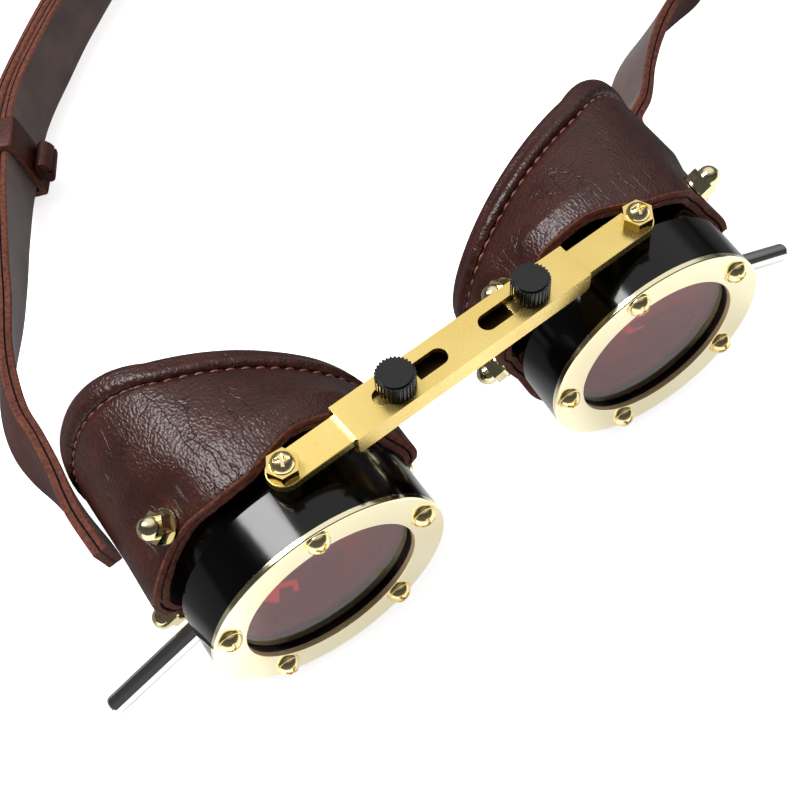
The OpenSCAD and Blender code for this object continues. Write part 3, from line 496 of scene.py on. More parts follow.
for side in sideNames:
    middle = onEyepiece(side, (0, 0, 0))
    brokenEdges(side + "_front_ring", side + "FrontRing", paleGold, frontRing["edge"], side + "_goggle",
                segments=frontRing["segments"], inside=(lipGoldPaintedHighlight, lambda face: (
                    (middle - face.center).normalized().dot(face.normal) > frontRing["lipFacing"])))

# Round-head screw with a crossed recess on a washer; drawn along +Z with the washer's underside at zero
ringScrew = {
    "head": 4.7, "height": 1.75, "edge": 0.07,
    "washer": 5.2, "washerThick": 0.35,
    "shank": 1.6, "shankLong": 4.6,
    "recess": 0.62, "recessLong": 2.9, "recessDeep": 0.85, "cutter": 2,
}
pivotScrew = {**ringScrew, "height": 1.8, "washerThick": 0, "shank": 3.0, "shankLong": 9.0, "recessTurn": 20}


def makeScrewMesh(s):
    base = s["washerThick"]
    radius = (s["head"] ** 2 / 4 + s["height"] ** 2) / (2 * s["height"])
    head = added("uv_sphere", "screwHead", segments=48, ring_count=32, radius=radius * mm,
                 location=(0, 0, (base + s["height"] - radius) * mm))
    settle(head)
    bpy.ops.object.mode_set(mode="EDIT")
    bpy.ops.mesh.select_all(action="SELECT")
    bpy.ops.mesh.bisect(plane_co=(0, 0, base * mm), plane_no=(0, 0, 1), use_fill=True, clear_inner=True)
    bpy.ops.object.mode_set(mode="OBJECT")
    for turn in (45, 135):
        recess = added("cube", "recess", size=1, rotation=(0, 0, radians(turn)),
                       location=(0, 0, (base + s["height"] - s["recessDeep"] + s["cutter"] / 2) * mm),
                       scale=(s["recessLong"] * mm, s["recess"] * mm, s["cutter"] * mm))
        settle(recess)
        cutBy(head, recess)
    parts = [head]
    if base:
        parts.append(added("cylinder", "washer", vertices=48, radius=s["washer"] / 2 * mm, depth=base * mm,
                           location=(0, 0, base / 2 * mm)))
    parts.append(added("cylinder", "shank", vertices=24, radius=s["shank"] / 2 * mm,
                       depth=s["shankLong"] * mm, location=(0, 0, -s["shankLong"] / 2 * mm)))
    for part in parts:
        settle(part)
        roundEdges(part, s["edge"], 2)
        shadeSmooth(part, 40)
    selectOnly(*parts)
    bpy.ops.object.join()
    mesh = head.data.copy()
    bpy.data.objects.remove(head)
    return mesh


def placeScrews(name, template, places, node, body):
    # one object from copies of a screw at several places
    shape = bmesh.new()
    for place in places:
        copy = template.copy()
        copy.transform(place)
        shape.from_mesh(copy)
        bpy.data.meshes.remove(copy)
    piece = meshPiece(name, shape, [screwBrass])
    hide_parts(node)
    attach(piece, body)


# Ring screws: turns of their circle and of each recess as in the photograph
screwCircle = {
    "front": 11.45, "radius": 21.9,
    "turn": {"left": -2.7, "right": 18.6},
    "recessTurns": {"left": (12, 50, 75, 20, 38), "right": (64, 28, 5, 47, 80)},
}
ringScrewMesh = makeScrewMesh(ringScrew)
pivotScrewMesh = makeScrewMesh(pivotScrew)
for side in sideNames:
    body = side + "_goggle"
    places = []
    for i, recessTurn in enumerate(screwCircle["recessTurns"][side]):
        a = radians(90 + screwCircle["turn"][side] + 72 * i)
        x, z = screwCircle["radius"] * cos(a), screwCircle["radius"] * sin(a)
        places.append(eyepiecePlace(side, (x, -screwCircle["front"], z), recessTurn))
    placeScrews(side + "RingScrews", ringScrewMesh, places, side + "_ring_screws", body)
    pivot = eyepieces[side]["origin"]
    onNut = Matrix.Translation((pivot.x, pivot.y, eyepieces[side]["nutTop"]))
    place = onNut @ Matrix.Rotation(radians(pivotScrew["recessTurn"]), 4, "Z")
    placeScrews(side + "PivotScrew", pivotScrewMesh, [place], side + "_pivot_screw", body)

# Lens and the thin gasket that it is pressed against, along the barrel's axis
glazing = {"radius": 20.25, "back": 7.25, "front": 9.5, "gap": 0.05, "gasketFront": 10.25,
           "gasketInner": 18.45, "vertices": 128, "cutter": 4}


def makeGlazing(side):
    g = glazing
    size = {"vertices": g["vertices"], "radius": g["radius"] * mm}
    lens = added("cylinder", side + "Lens", depth=(g["front"] - g["back"]) * mm,
                 location=(0, 0, (g["front"] + g["back"]) / 2 * mm), **size)
    depth = g["gasketFront"] - g["front"] - g["gap"]
    middle = (g["gasketFront"] + g["front"] + g["gap"]) / 2 * mm
    gasket = added("cylinder", side + "Gasket", depth=depth * mm, location=(0, 0, middle), **size)
    hole = added("cylinder", "hole", vertices=g["vertices"], radius=g["gasketInner"] * mm,
                 depth=g["cutter"] * mm, location=(0, 0, middle))
    settle(hole)
    settle(gasket)
    cutBy(gasket, hole)
    for piece, material, node, slotName in ((lens, lensRed, "_lens", "lens_glass"),
                                            (gasket, gasketBlack, "_gasket", "rubber")):
        settle(piece)
        piece.data.transform(eyepiecePlace(side, (0, 0, 0)))
        coat(piece, material)
        shadeSmooth(piece, 40)
        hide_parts(side + node)
        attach(piece, side + "_goggle")


# Bright tongue in front of the blades, its foot in the barrel's shoulder: (outwards, up) corners in mm
tongue = {
    "front": 6.95, "thick": 0.3,
    "outline": ((18.7, 8.4), (12.0, 9.4), (8.4, 9.4), (5.2, 6.6), (5.2, 2.4), (6.2, 2.8), (6.5, 5.8),
                (8.9, 7.3), (9.2, 5.2), (9.6, 2.2), (12.6, 6.2), (18.9, 7.0)),
    "turn": {"left": 0, "right": 82},
    "foot": {"at": (19.0, 6.9), "front": 6.75, "radius": 1.2, "thick": 0.9},
}


def makeTongue(side):
    shape = bmesh.new()
    turn = Matrix.Rotation(radians(tongue["turn"][side]), 2)
    corners = [turn @ Vector(corner) for corner in tongue["outline"]]
    shape.faces.new([shape.verts.new(onEyepiece(side, (x, -tongue["front"], z))) for x, z in corners])
    shape.normal_update()
    bmesh.ops.triangulate(shape, faces=shape.faces)
    piece = meshPiece(side + "Tongue", shape, [tongueSteel])
    solid = piece.modifiers.new("thick", "SOLIDIFY")
    solid.thickness = tongue["thick"] * mm
    solid.offset = 0
    applyModifiers(piece)
    f = tongue["foot"]
    foot = added("cylinder", "foot", vertices=24, radius=f["radius"] * mm, depth=f["thick"] * mm)
    at = turn @ Vector(f["at"])
    foot.matrix_world = eyepiecePlace(side, (at.x, -f["front"], at.y))
    settle(foot)
    foot.data.materials.append(tongueSteel)
    selectOnly(piece, foot)
    bpy.ops.object.join()
    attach(piece, side + "_goggle")


for side in sideNames:
    makeGlazing(side)
    makeTongue(side)
print("screws and lenses made")


def smoothStep(t):
    t = min(1, max(0, t))
    return t * t * (3 - 2 * t)


def ringMesh(name, rings, materials, faceMaterial, smoothAngle=40, capEnds=None):
    # rings: lists of equally many points in metres, joined into a loop unless capEnds closes both ends
    # faceMaterial: a face's material from its place in a ring
    shape = bmesh.new()
    rows = [[shape.verts.new(p) for p in ring] for ring in rings]
    count, around = len(rows), len(rows[0])
    for i in range(count - 1 if capEnds else count):
        a, b = rows[i], rows[(i + 1) % count]
        for j in range(around):
            k = (j + 1) % around
            face = shape.faces.new((a[j], a[k], b[k], b[j]))
            face.material_index = faceMaterial(j)
            face.smooth = True
    if capEnds:
        capEnds(shape, rows)
    bmesh.ops.recalc_face_normals(shape, faces=shape.faces)
    piece = meshPiece(name, shape, materials)
    shadeSmooth(piece, smoothAngle)
    return piece


# Leather cups, in mm and degrees round the barrel's axis; 0 is the temple and 90 the top
cup = {
    "neck": 23.55,         # outside of the neck with its clearance
    "lobeGap": 2.2,        # how far the leather stands off the neck between bolts
    "leather": 3.4,        # two plies
    "edge": 2.6,           # thinner at the padded rim
    "seatedY": 12.2,
    "holdLong": 7,
    "washerSpan": 7.5,
    "pinchWidth": 11.0,
    "bolts": {"left": (40, 151, 204, -27), "right": (33, 151, 204, -27)},
    # front edge: how far back it lies, further at the bolts and under the sleeve, less on the lowest lobe
    "frontY": 3.6,
    "boltDip": 2.2,
    "sleeveDip": 3.9, "sleeveFrom": 76, "sleeveTo": 142, "sleeveFades": (30, 18),
    "lobe": 2.4, "lobeAt": 245, "lobeSpread": 28,
    # and clear of the lever
    "leverY": 2.2, "leverRadius": 2.1, "leverClear": 0.6,
    "leverSweep": (-50, -10), "leverMargin": 13, "leverFade": 4,
    # the padded rim's line: its middle, its reach to each side, its height and how it sweeps back
    "rimMiddle": 8.5, "rimTemple": 20.8, "rimNose": 37.3, "rimTop": 24.8, "rimBottom": 29.15, "rimLift": 0.4,
    "rimY": 34.9, "rimSweep": 10.1, "rimWaves": (1.9, 0.45), "rimWidth": 4.4, "rimInset": 0.5,
    "around": 336, "along": 44, "innerAlong": 20,
    # bulges of the hide: pitch round the cup, pitch along it, height
    "bulges": ((13, 26, 0.42), (4.5, 17, 0.13)),
    # cut front edge from the inner face to the outer one: (depth, how far back), with the glue line sunk in
    "edgeProfile": ((0.93, 0.0), (0.62, -0.1), (0.55, 0.15), (0.5, 0.75), (0.45, 0.15), (0.38, -0.1),
                    (0.07, 0.0)),
    "edgeCorner": 0.35,
    "edgeFuzz": 0.16,
}
rimMiddleZ = (cup["rimTop"] - cup["rimBottom"]) / 2 + cup["rimLift"]
stitching = {"inset": 6.3, "pitch": 2.9, "length": 2.15, "thread": 0.62, "thinnest": 0.45, "sink": 0.12,
             "dip": 0.42, "slant": 0.16, "sides": 8, "steps": 8, "channelDeep": 0.5, "channelHalf": 0.75}


def cosSin(a):
    return cos(radians(a)), sin(radians(a))


def angleGap(a, b):
    d = (a - b) % 360
    return min(d, 360 - d)


def pinch(side, a):
    gaps = [max(0, angleGap(a, b) - cup["washerSpan"]) for b in cup["bolts"][side]]
    return max(exp(-(gap / cup["pinchWidth"]) ** 2) for gap in gaps)


def rimHalf(a):
    c, s = cosSin(a)
    x = cup["rimTemple"] if c > 0 else cup["rimNose"]
    z = cup["rimTop"] - rimMiddleZ if s > 0 else cup["rimBottom"] + rimMiddleZ
    return x, z


def rimLine(a):
    c, s = cosSin(a)
    x, z = rimHalf(a)
    (first, second), (c2, s2) = cup["rimWaves"], cosSin(2 * a)
    y = cup["rimY"] + cup["rimSweep"] * c + s - first * c2 + second * s2
    return Vector((cup["rimMiddle"] + x * c, y, rimMiddleZ + z * s))


def rimOut(a):
    (x, z), (c, s) = rimHalf(a), cosSin(a)
    return Vector((c / x, 0, s / z)).normalized()


def frontEdge(side, a):
    fadeIn, fadeOut = cup["sleeveFades"]
    underSleeve = cup["sleeveDip"] * smoothStep((a - cup["sleeveFrom"]) / fadeIn)
    underSleeve *= smoothStep((cup["sleeveTo"] - a) / fadeOut)
    lobe = cup["lobe"] * exp(-(angleGap(a, cup["lobeAt"]) / cup["lobeSpread"]) ** 2)
    y = cup["frontY"] + max(cup["boltDip"] * pinch(side, a), underSleeve) - lobe
    low, high = cup["leverSweep"]
    past = angleGap(a, (low + high) / 2) - (high - low) / 2 - cup["leverMargin"]
    clear = cup["leverY"] + cup["leverRadius"] + cup["leverClear"]
    return y + (1 - smoothStep(past / cup["leverFade"])) * max(0, clear - y)


def wallPoint(side, a, t, depth):
    # t runs from the front edge to the padded rim, depth from the outer face to the inner one
    front = frontEdge(side, a)
    stop = rimLine(a) - Vector((0, cup["rimWidth"], 0)) - rimOut(a) * (cup["rimInset"] + depth * cup["edge"])
    y = front + (stop.y - front) * t
    flared = min(1, max(0, (y - cup["seatedY"]) / (stop.y - cup["seatedY"])))
    hold = 1 - min(1, max(0, (y - cup["seatedY"]) / cup["holdLong"]))
    r = cup["neck"] + cup["lobeGap"] * (1 - pinch(side, a) * hold) + cup["leather"] * (1 - depth)
    c, s = cosSin(a)
    return Vector((r * c * (1 - flared) + stop.x * flared, y, r * s * (1 - flared) + stop.z * flared))


def onStand(p):
    # nothing reaches below what the goggles stand on
    return Vector((p.x, p.y, max(p.z, standHeight)))


def cupRing(side, a):
    seed = 3.7 * sideSign[side]
    out = rimOut(a)
    outer = []
    for k in range(cup["along"] + 1):
        t = (k / cup["along"]) ** 0.9
        p = wallPoint(side, a, t, 0)
        wave = sum(noise.noise(Vector((p.x / pitch, p.y / long + seed, p.z / pitch))) * height
                   for pitch, long, height in cup["bulges"])
        fade = smoothStep(t * 6) * smoothStep((1 - t) * 7)
        # a channel where the stitches pull the hide down
        fromRim = (1 - t) * (rimLine(a).y - cup["rimWidth"] - frontEdge(side, a))
        fromStitch = (fromRim - stitching["inset"] + cup["rimWidth"]) / stitching["channelHalf"]
        channel = stitching["channelDeep"] * exp(-fromStitch ** 2)
        radial = Vector((p.x, 0, p.z)).normalized()
        outer.append(p + radial * (wave * fade) - out * channel)
    steps = cup["innerAlong"]
    inner = [wallPoint(side, a, k / steps, 1) for k in range(steps, -1, -1)]
    front = []
    for depth, back in cup["edgeProfile"]:
        p = wallPoint(side, a, 0, depth)
        fuzz = noise.noise(Vector((p.x * 0.9, p.z * 0.9, depth * 6 + seed))) * cup["edgeFuzz"]
        front.append(p + Vector((0, back - cup["edgeCorner"] + fuzz, 0)))
    return [onStand(onEyepiece(side, p)) for p in outer + inner + front]


def cupFaceMaterial(j):
    # hide outside, lining inside, and the cut edge with its glue line
    innerEnd = cup["along"] + cup["innerAlong"] + 1
    if j < innerEnd:
        return 0 if j < cup["along"] else 2
    return 3 if j in (innerEnd + 3, innerEnd + 4) else 1


def makeCup(side):
    rings = [cupRing(side, 360 * i / cup["around"]) for i in range(cup["around"])]
    materials = (leatherCup, edgeLeather, cupLining, edgeDark)
    piece = ringMesh(side + "LeatherCup", rings, materials, cupFaceMaterial)
    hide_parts(side + "_cup")
    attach(piece, side + "_goggle")


# Padded roll: a turned-over band of the same hide, stuffed and stitched down through the wall
roll = {"around": 496, "puff": 0.75, "pucker": 0.13}


def wallOffset(side, a, depth):
    # how far the wall's face lies from the rim's line under the stitches
    line = rimLine(a)
    front = frontEdge(side, a)
    t = (line.y - stitching["inset"] - front) / (line.y - cup["rimWidth"] - front)
    return (wallPoint(side, a, min(t, 1), depth) - line).dot(rimOut(a))


def rollRing(side, a, phase):
    line, out = rimLine(a), rimOut(a)
    seed = 5.1 * sideSign[side]
    inset = stitching["inset"]
    outerWall, innerWall = wallOffset(side, a, 0), wallOffset(side, a, 1)
    pucker = roll["pucker"] * cos(tau * phase)
    swell = noise.noise(Vector((line.x / 9, line.z / 9, seed))) * 0.25
    profile = [
        (outerWall - 0.7, inset - 0.5), (outerWall - 0.12, inset - 0.35),
        (outerWall + 0.4 - pucker, inset - 0.9), (outerWall + roll["puff"] + swell * 0.5, inset - 2.0),
        (0.1 + swell, 3.1), (-0.05 + swell, 2.0), (-0.35 + swell * 0.6, 1.05), (-1.1, 0.3), (-2.1, 0.02),
        (-3.05, 0.3), (-3.8, 1.1), (-4.15, 2.3), (-4.2, 3.7), (innerWall - 0.65, inset - 1.3),
        (innerWall - 0.1, inset - 0.4), (innerWall + 0.6, inset - 0.6),
    ]
    return [onStand(onEyepiece(side, line + out * o - Vector((0, back, 0)))) for o, back in profile]


def makeRoll(side):
    count = stitchCount(side)
    n = roll["around"]
    rings = [rollRing(side, 360 * i / n, count * i / n) for i in range(n)]
    piece = ringMesh(side + "PaddedRim", rings, [leatherCup], lambda j: 0, smoothAngle=60)
    smooth = piece.modifiers.new("soften", "SUBSURF")
    smooth.levels = smooth.render_levels = 1
    applyModifiers(piece)
    for v in piece.data.vertices:
        v.co.z = max(v.co.z, standHeight)
    shadeSmooth(piece, 60)
    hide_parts(side + "_rim")
    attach(piece, side + "_goggle")


def stitchPlace(side, a):
    s = stitching
    height = wallOffset(side, a, 0) - s["channelDeep"] + s["thread"] / 2 - s["sink"]
    return rimLine(a) + rimOut(a) * height - Vector((0, s["inset"], 0))


def stitchCount(side):
    points = [stitchPlace(side, a) for a in range(0, 360, 3)]
    length = sum((points[i] - points[i - 1]).length for i in range(len(points)))
    return round(length / stitching["pitch"])


def makeStitches(side):
    # one thread with a lens-shaped loop for each stitch, dipping into its holes at both ends
    count = stitchCount(side)
    table = [stitchPlace(side, a / 2) for a in range(721)]
    lengths = [0]
    for a, b in zip(table, table[1:]):
        lengths.append(lengths[-1] + (b - a).length)

    def at(distance):
        distance %= lengths[-1]
        low = min(max(i for i, length in enumerate(lengths) if length <= distance), len(table) - 2)
        share = (distance - lengths[low]) / (lengths[low + 1] - lengths[low])
        return table[low].lerp(table[low + 1], share), low / 2

    shape = bmesh.new()
    pitch = lengths[-1] / count
    s, sides = stitching, stitching["sides"]
    turns = [tau * m / sides for m in range(sides)]
    for number in range(count):
        rows = []
        for k in range(s["steps"] + 1):
            u = k / s["steps"]
            distance = (number + 0.5) * pitch + (u - 0.5) * s["length"]
            centre, a = at(distance)
            ahead, _ = at(distance + 0.1)
            out = rimOut(a)
            across = (ahead - centre).normalized().cross(out).normalized()
            thick = s["thread"] / 2 * (s["thinnest"] + (1 - s["thinnest"]) * sin(pi * u) ** 0.5)
            middle = centre + out * (-s["dip"] * (1 - sin(pi * u) ** 0.6)) + across * (s["slant"] * (u - 0.5))
            around = [middle + (out * sin(turn) + across * cos(turn)) * thick for turn in turns]
            rows.append([shape.verts.new(onStand(onEyepiece(side, p))) for p in around])
        for a, b in zip(rows, rows[1:]):
            for m in range(sides):
                shape.faces.new((a[m], a[(m + 1) % sides], b[(m + 1) % sides], b[m]))
        shape.faces.new(rows[0])
        shape.faces.new(rows[-1])
    bmesh.ops.recalc_face_normals(shape, faces=shape.faces)
    piece = meshPiece(side + "RimStitches", shape, [thread])
    shadeSmooth(piece, 60)
    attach(piece, side + "_goggle")


for side in sideNames:
    makeCup(side)
    makeRoll(side)
    makeStitches(side)
    print(side, "cup sewn")

# Strap: the same route as the frame's, as a list in mm; height is from the barrels' axis
strap = {
    "width": 15.0, "thick": 3.2, "gap": 0.4, "groove": 0.4, "corner": 0.35, "glue": 0.2,
    "endSlant": 4.0, "slantFade": 0.7,
    "waveLong": 16, "wave": 0.22, "innerWave": 0.3,
    # how far off the cup's rim line it lies, nearer to it further forward
    "seat": 0.55, "seatIn": 0.8, "seatFade": 12,
    "stepsPerPoint": 14,
}
axisHeight = eyepieces["left"]["origin"].z / mm


def cupSide(side, y, z, lean):
    seat = strap["seat"] - strap["seatIn"] * min(1, max(0, (cup["rimY"] - y) / strap["seatFade"]))
    p = onEyepiece(side, (cup["rimMiddle"] + cup["rimTemple"] + strap["thick"] / 2 + seat, y, z)) / mm
    return (p.x, p.y, p.z, lean)


# x, y, height and lean, from the left cup round the head to the right one
loosePoints = (
    (-67.8, 54, -7.4, -14), (-67.2, 62, -8, -16), (-64.6, 71, -8.9, -16), (-60.2, 80, -10, -12),
    (-53.2, 91, -11.4, -4), (-46.8, 102, -12.6, 2), (-38, 117, -14.2, 8), (-28.6, 131.5, -16, 14),
    (-16.8, 146.5, -17.4, 17), (-3.2, 158, -17.8, 18), (11, 168, -17.4, 14), (27, 177, -16.4, 8),
    (44, 185, -16.6, 4), (64, 191, -17.2, 2), (86, 193, -17.8, 0), (108, 189, -17.8, 0),
    (129, 178, -17.4, 0), (146, 161, -16.6, 0), (157, 140, -16, 0), (160.5, 118, -14.6, 0),
    (158, 98, -13.2, 0), (151, 82, -11.8, 2), (142, 71.5, -10.6, 4), (132, 65.5, -9.6, 6),
    (121, 62.5, -8.8, 12), (112, 60, -8.3, 19), (103, 56, -7.9, 26), (94.5, 50.5, -7.6, 30),
    (87, 43.5, -7.5, 26),
)
strapRoute = [cupSide("left", *p) for p in ((20, -6, 9), (31, -6.2, 8), (42, -6.6, -3))]
strapRoute += [(x, y, z + axisHeight, lean) for x, y, z, lean in loosePoints]
strapRoute += [cupSide("right", *p) for p in ((42, -7.4, 14), (31, -7, 3), (20, -6.6, 0))]
routeEnd = len(strapRoute) - 1


def routeAt(t):
    i = min(floor(t), routeEnd - 1)
    f = t - i
    p0, p1, p2, p3 = (Vector(strapRoute[k]) for k in (max(i - 1, 0), i, i + 1, min(i + 2, routeEnd)))
    return 0.5 * (2 * p1 + (p2 - p0) * f + (2 * p0 - 5 * p1 + 4 * p2 - p3) * f ** 2
                  + (3 * p1 - p0 - 3 * p2 + p3) * f ** 3)


def strapAxes(t):
    # along the strap, away from the loop, and up its width
    d = routeAt(min(t + 0.05, routeEnd)) - routeAt(max(t - 0.05, 0))
    along = Vector((d[0], d[1], 0)).normalized()
    away = Vector((-along.y, along.x, 0))
    lean = radians(routeAt(t)[3])
    return along, away * cos(lean) - Vector((0, 0, sin(lean))), away * sin(lean) + Vector((0, 0, cos(lean)))


def lookup(t, table):
    if t <= table[0][0]:
        return table[0][1]
    for (a, va), (b, vb) in zip(table, table[1:]):
        if t <= b:
            return va + (vb - va) * (t - a) / (b - a)
    return table[-1][1]


def strapSection():
    # closed outline of the strap: (across, up, material) with a glue line between the plies at both edges
    half, wide = strap["thick"] / 2, strap["width"] / 2
    c, g, line = strap["corner"], strap["groove"], strap["glue"]
    inner = [(-half, -wide + c + (2 * (wide - c)) * k / 8, 2) for k in range(8)]
    top = [(-half, wide - c, 1), (-half + c, wide, 1), (-line, wide + 0.02, 3), (0, wide - g, 3),
           (line, wide + 0.02, 1), (half - c, wide, 1)]
    outer = [(half, wide - c - (2 * (wide - c)) * k / 8, 0) for k in range(8)]
    bottom = [(half, -wide + c, 1), (half - c, -wide, 1), (line, -wide - 0.02, 3), (0, -wide + g, 3),
              (-line, -wide - 0.02, 1), (-half + c, -wide, 1)]
    return inner + top + outer + bottom


section = strapSection()


def capPlies(shape, rows):
    # the two plies show at a cut end, with the glue line sunk between them
    across = [point[0] for point in section]
    inner = [j for j, x in enumerate(across) if x < 0]
    outer = [j for j, x in enumerate(across) if x > 0]
    top, bottom = [j for j, x in enumerate(across) if x == 0]
    for row in (rows[0], rows[-1]):
        for ply in (inner, outer):
            start = next(i for i, j in enumerate(ply) if (ply[i - 1] + 1) % len(section) != j)
            face = shape.faces.new([row[j] for j in ply[start:] + ply[:start]])
            face.material_index = 1
        # glue line: from the inner ply's edge to the sunk middle and on to the outer ply's edge
        for corners in ((top - 1, top, bottom, bottom + 1), (top, top + 1, bottom - 1, bottom)):
            face = shape.faces.new([row[j] for j in corners])
            face.material_index = 3


def strapRing(t, out):
    p = routeAt(t)
    along, away, up = strapAxes(t)
    centre = Vector((p[0], p[1], p[2])) + away * out
    # the ends at the cups are cut on a slant, with the lower corner further back
    fade = strap["slantFade"]
    slant = strap["endSlant"] * (max(0, 1 - t / fade) - max(0, 1 - (routeEnd - t) / fade))
    points = []
    for across, height, _ in section:
        q = centre + away * across + up * height + along * slant * (0.5 - height / strap["width"])
        long = strap["waveLong"]
        wave = noise.noise(Vector((q.x / long, q.y / long, q.z / long + across))) * strap["wave"]
        points.append((q + away * wave * (1 if abs(across) > 1 else strap["innerWave"])) * mm)
    return points


def makeStrap(name, node, start, stop, hold, outs=((0, 0),)):
    # hold: the body that it rides on, or two bodies and the places of a bend between them, in which case the
    # piece only has its place baked in and rides on no body
    n = max(2, ceil((stop - start) * strap["stepsPerPoint"]))
    places = [start + (stop - start) * k / n for k in range(n + 1)]
    rings = [strapRing(t, lookup(t, outs)) for t in places]
    piece = ringMesh(name, rings, [leatherStrap, edgeLeather, lining, edgeDark], lambda j: section[j][2],
                     smoothAngle=35, capEnds=capPlies)
    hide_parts(node)
    if isinstance(hold, str):
        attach(piece, hold)
    else:
        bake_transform(piece)


layer = strap["thick"] + strap["gap"]
# places on the route, by the number of its points
leftSplit, leftRoot, rightRoot, rightSplit = 4.5, 8, 25, 29.5
tailAt, keeperAt, barAt = 9.3, 10.1, 14
# the right strap lies on the left one from its tail and over the buckle's bar, then comes down to the route
barHole, foldPly = 1.4, 1.6
overBar = barHole + foldPly + strap["gap"] + strap["thick"] / 2
tongueOuts = ((barAt - 0.6, layer), (barAt, overBar), (barAt + 0.8, overBar - 0.7), (barAt + 3, 0))

makeStrap("leftStrapEnd", "left_strap_end", 0, leftSplit, ("left_goggle", "left_arm", 2.2, 4.4))
makeStrap("leftStrapSide", "left_strap_side", leftSplit, leftRoot, ("left_arm", "bridge", 4.7, 7.9))
makeStrap("leftStrapRear", "left_strap_rear", leftRoot, barAt - 0.15, "bridge")
makeStrap("rightStrapRear", "right_strap_rear", tailAt, rightRoot, "bridge", outs=tongueOuts)
makeStrap("rightStrapSide", "right_strap_side", rightRoot, rightSplit, ("bridge", "right_arm", 25.1, 29.3))
makeStrap("rightStrapEnd", "right_strap_end", rightSplit, routeEnd, ("right_arm", "right_goggle", 29.6, 31.9))
print("strap laid")

# Keeper loop of one ply, its ends folded together and standing out towards the head
keeper = {"width": 9.0, "thick": 1.6, "room": 0.5, "corner": 1.1, "innerCorner": 0.3, "bulge": 0.25,
          "round": 0.5, "edgeIn": 0.03}
fold = {"out": 2.1, "tall": 3.4, "long": 7.6, "low": -3.2, "overlap": 0.05, "round": 0.35,
        "cleftAt": 0.9, "cleft": (2.4, 0.5, 12)}


def roundedLoop(low, high, corner, steps=6):
    (x0, z0), (x1, z1) = low, high
    points = []
    for cx, cz, start in ((x1 - corner, z1 - corner, 0), (x0 + corner, z1 - corner, 90),
                          (x0 + corner, z0 + corner, 180), (x1 - corner, z0 + corner, 270)):
        turns = [radians(start + 90 * k / steps) for k in range(steps + 1)]
        points += [(cx + corner * cos(turn), cz + corner * sin(turn)) for turn in turns]
    return points


def makeKeeper():
    room, thick = keeper["room"], keeper["thick"]
    x0, x1 = -strap["thick"] / 2 - room, layer + strap["thick"] / 2 + room
    z = strap["width"] / 2 + room
    inside = roundedLoop((x0, -z), (x1, z), keeper["innerCorner"])
    outside = roundedLoop((x0 - thick, -z - thick), (x1 + thick, z + thick), keeper["corner"])
    along, away, up = strapAxes(keeperAt)
    centre = Vector(routeAt(keeperAt)[:3])
    half, bulge, inward = keeper["width"] / 2, keeper["bulge"], keeper["edgeIn"]
    rings = []
    for (ix, iz), (ox, oz) in zip(inside, outside):
        ex, ez = ox * (1 - inward) + ix * inward, oz * (1 - inward) + iz * inward
        middle = ox + bulge * (ox > x1) - bulge * (ox < x0)
        turned = half - keeper["round"]
        ring = ((-half, ix, iz), (half, ix, iz), (half, ex, ez), (turned, ox, oz), (0, middle, oz),
                (-turned, ox, oz), (-half, ex, ez))
        rings.append([(centre + along * s + away * x + up * h) * mm for s, x, h in ring])
    piece = ringMesh("strapKeeper", rings, [leatherStrap, edgeLeather, lining],
                     lambda j: (2, 1, 0, 0, 0, 0, 1)[j], smoothAngle=50)
    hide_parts("strap_keeper")
    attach(piece, "bridge")
    axes = Matrix((away, up, along)).transposed().to_4x4()
    at = centre + away * (x0 - thick - fold["out"] + fold["overlap"]) + up * fold["low"]
    ends = added("cylinder", "keeperFold", vertices=40, radius=1, depth=1)
    size = Matrix.Diagonal((fold["out"] * mm, fold["tall"] * mm, fold["long"] * mm, 1))
    ends.matrix_world = Matrix.Translation(at * mm) @ axes @ size
    settle(ends)
    cleft = added("cube", "cleft", size=1)
    cleftPlace = Matrix.Translation((at - away * fold["out"] * fold["cleftAt"]) * mm)
    cleft.matrix_world = cleftPlace @ axes @ Matrix.Diagonal((*(s * mm for s in fold["cleft"]), 1))
    settle(cleft)
    cutBy(ends, cleft)
    roundEdges(ends, fold["round"], 3)
    coat(ends, leatherStrap)
    shadeSmooth(ends, 50)
    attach(ends, "bridge")


makeKeeper()
print("keeper made")


# Studio: pale floor and one soft lamp at the upper left of the picture
studio = {
    "floor": "#fbfbfb",
    "worldLight": 0.6,
    # added brightness of the floor in reflections, and on top of that to the camera
    "floorMirrored": 0.4,
    "floorSeen": 0.25,
    # brightness of the room in reflections, by the cosine of the angle from the ceiling panel's middle
    "panel": (0.35, 0.43, 0.83),
    "room": ((0.0, 0.09), (0.45, 0.05), (0.68, 0.22), (0.86, 0.9), (1.0, 1.0)),
    # polished surfaces see the white sweep only in front of the lenses, and grey table around it
    "sweepFront": -0.01,
    "sweepBack": 0.025,
    "table": "#6a6a6a",
    "lamp": {"name": "keySoftbox", "place": (-0.30, 0.40, 0.62), "target": (0.0, 0.02, -0.03),
             "size": (0.26, 0.5), "energy": 7.6},
}


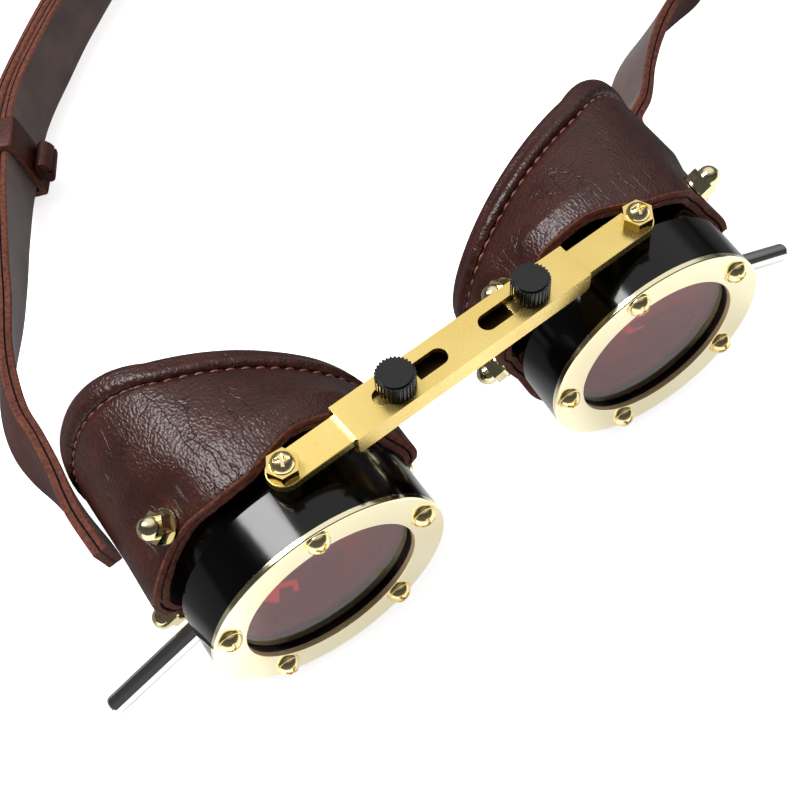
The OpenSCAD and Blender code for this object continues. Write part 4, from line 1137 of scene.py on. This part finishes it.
def addFloor():
    floorPiece = added("plane", "studioFloor", size=6, location=(0, 0, standHeight))
    material, tree, shader, place = newMaterial("paleFloor", {"Roughness": 0.9, "Emission Color": grey(1)})
    light = addNode(tree, "LightPath")
    toCamera, mirrored = (light, "Is Camera Ray"), (light, "Is Glossy Ray")
    seen = addMath(tree, "MAXIMUM", {0: toCamera, 1: mirrored})
    shown = addMath(tree, "MAXIMUM", {0: seen, 1: (light, "Is Transmission Ray")})
    part = addMath(tree, "MULTIPLY", {0: shown}, {1: studio["floorMirrored"]})
    glow = addMath(tree, "MULTIPLY_ADD", {0: toCamera, 2: part}, {1: studio["floorSeen"]})
    split = addNode(tree, "SeparateXYZ", links={"Vector": place})
    behind = addRange(tree, (split, "Y"), {"From Min": studio["sweepFront"], "From Max": studio["sweepBack"]})
    table = addMath(tree, "MULTIPLY", {0: behind, 1: mirrored})
    tone = addMix(tree, {0: table}, {6: srgb(studio["floor"]), 7: srgb(studio["table"])})
    link(tree, tone, shader, "Base Color")
    sweep = addMath(tree, "MULTIPLY", {0: glow, 1: addMath(tree, "SUBTRACT", {1: table}, {0: 1.0})})
    link(tree, sweep, shader, "Emission Strength")
    floorPiece.data.materials.append(material)


def addWorld():
    # even light on matt surfaces; polished ones see a bright ceiling over a darker room
    world = bpy.data.worlds.new("studio")
    bpy.context.scene.world = world
    world.use_nodes = True
    tree = world.node_tree
    background = tree.nodes["Background"]
    place = addNode(tree, "TexCoord")
    panel = Vector(studio["panel"]).normalized()
    facing = addNode(tree, "VectorMath", {"operation": "DOT_PRODUCT", 1: panel}, {0: (place, "Generated")})
    stops = [(cosine, grey(level)) for cosine, level in studio["room"]]
    room = addRamp(tree, (facing, "Value"), stops, "EASE")
    light = addNode(tree, "LightPath")
    even = addMix(tree, {0: (light, "Is Camera Ray")}, {6: grey(studio["worldLight"]), 7: grey(1.0)})
    link(tree, addMix(tree, {0: (light, "Is Glossy Ray"), 6: even, 7: room}), background, "Color")


def addLamp(lamp):
    data = bpy.data.lights.new(lamp["name"], "AREA")
    data.shape = "RECTANGLE"
    data.size, data.size_y = lamp["size"]
    data.energy = lamp["energy"]
    holder = inScene(lamp["name"], data)
    holder.location = lamp["place"]
    aim = Vector(lamp["target"]) - Vector(lamp["place"])
    holder.rotation_euler = aim.to_track_quat("-Z", "Y").to_euler()


addWorld()
addFloor()
addLamp(studio["lamp"])
bpy.context.scene.view_settings.view_transform = "Standard"
print("studio lit")
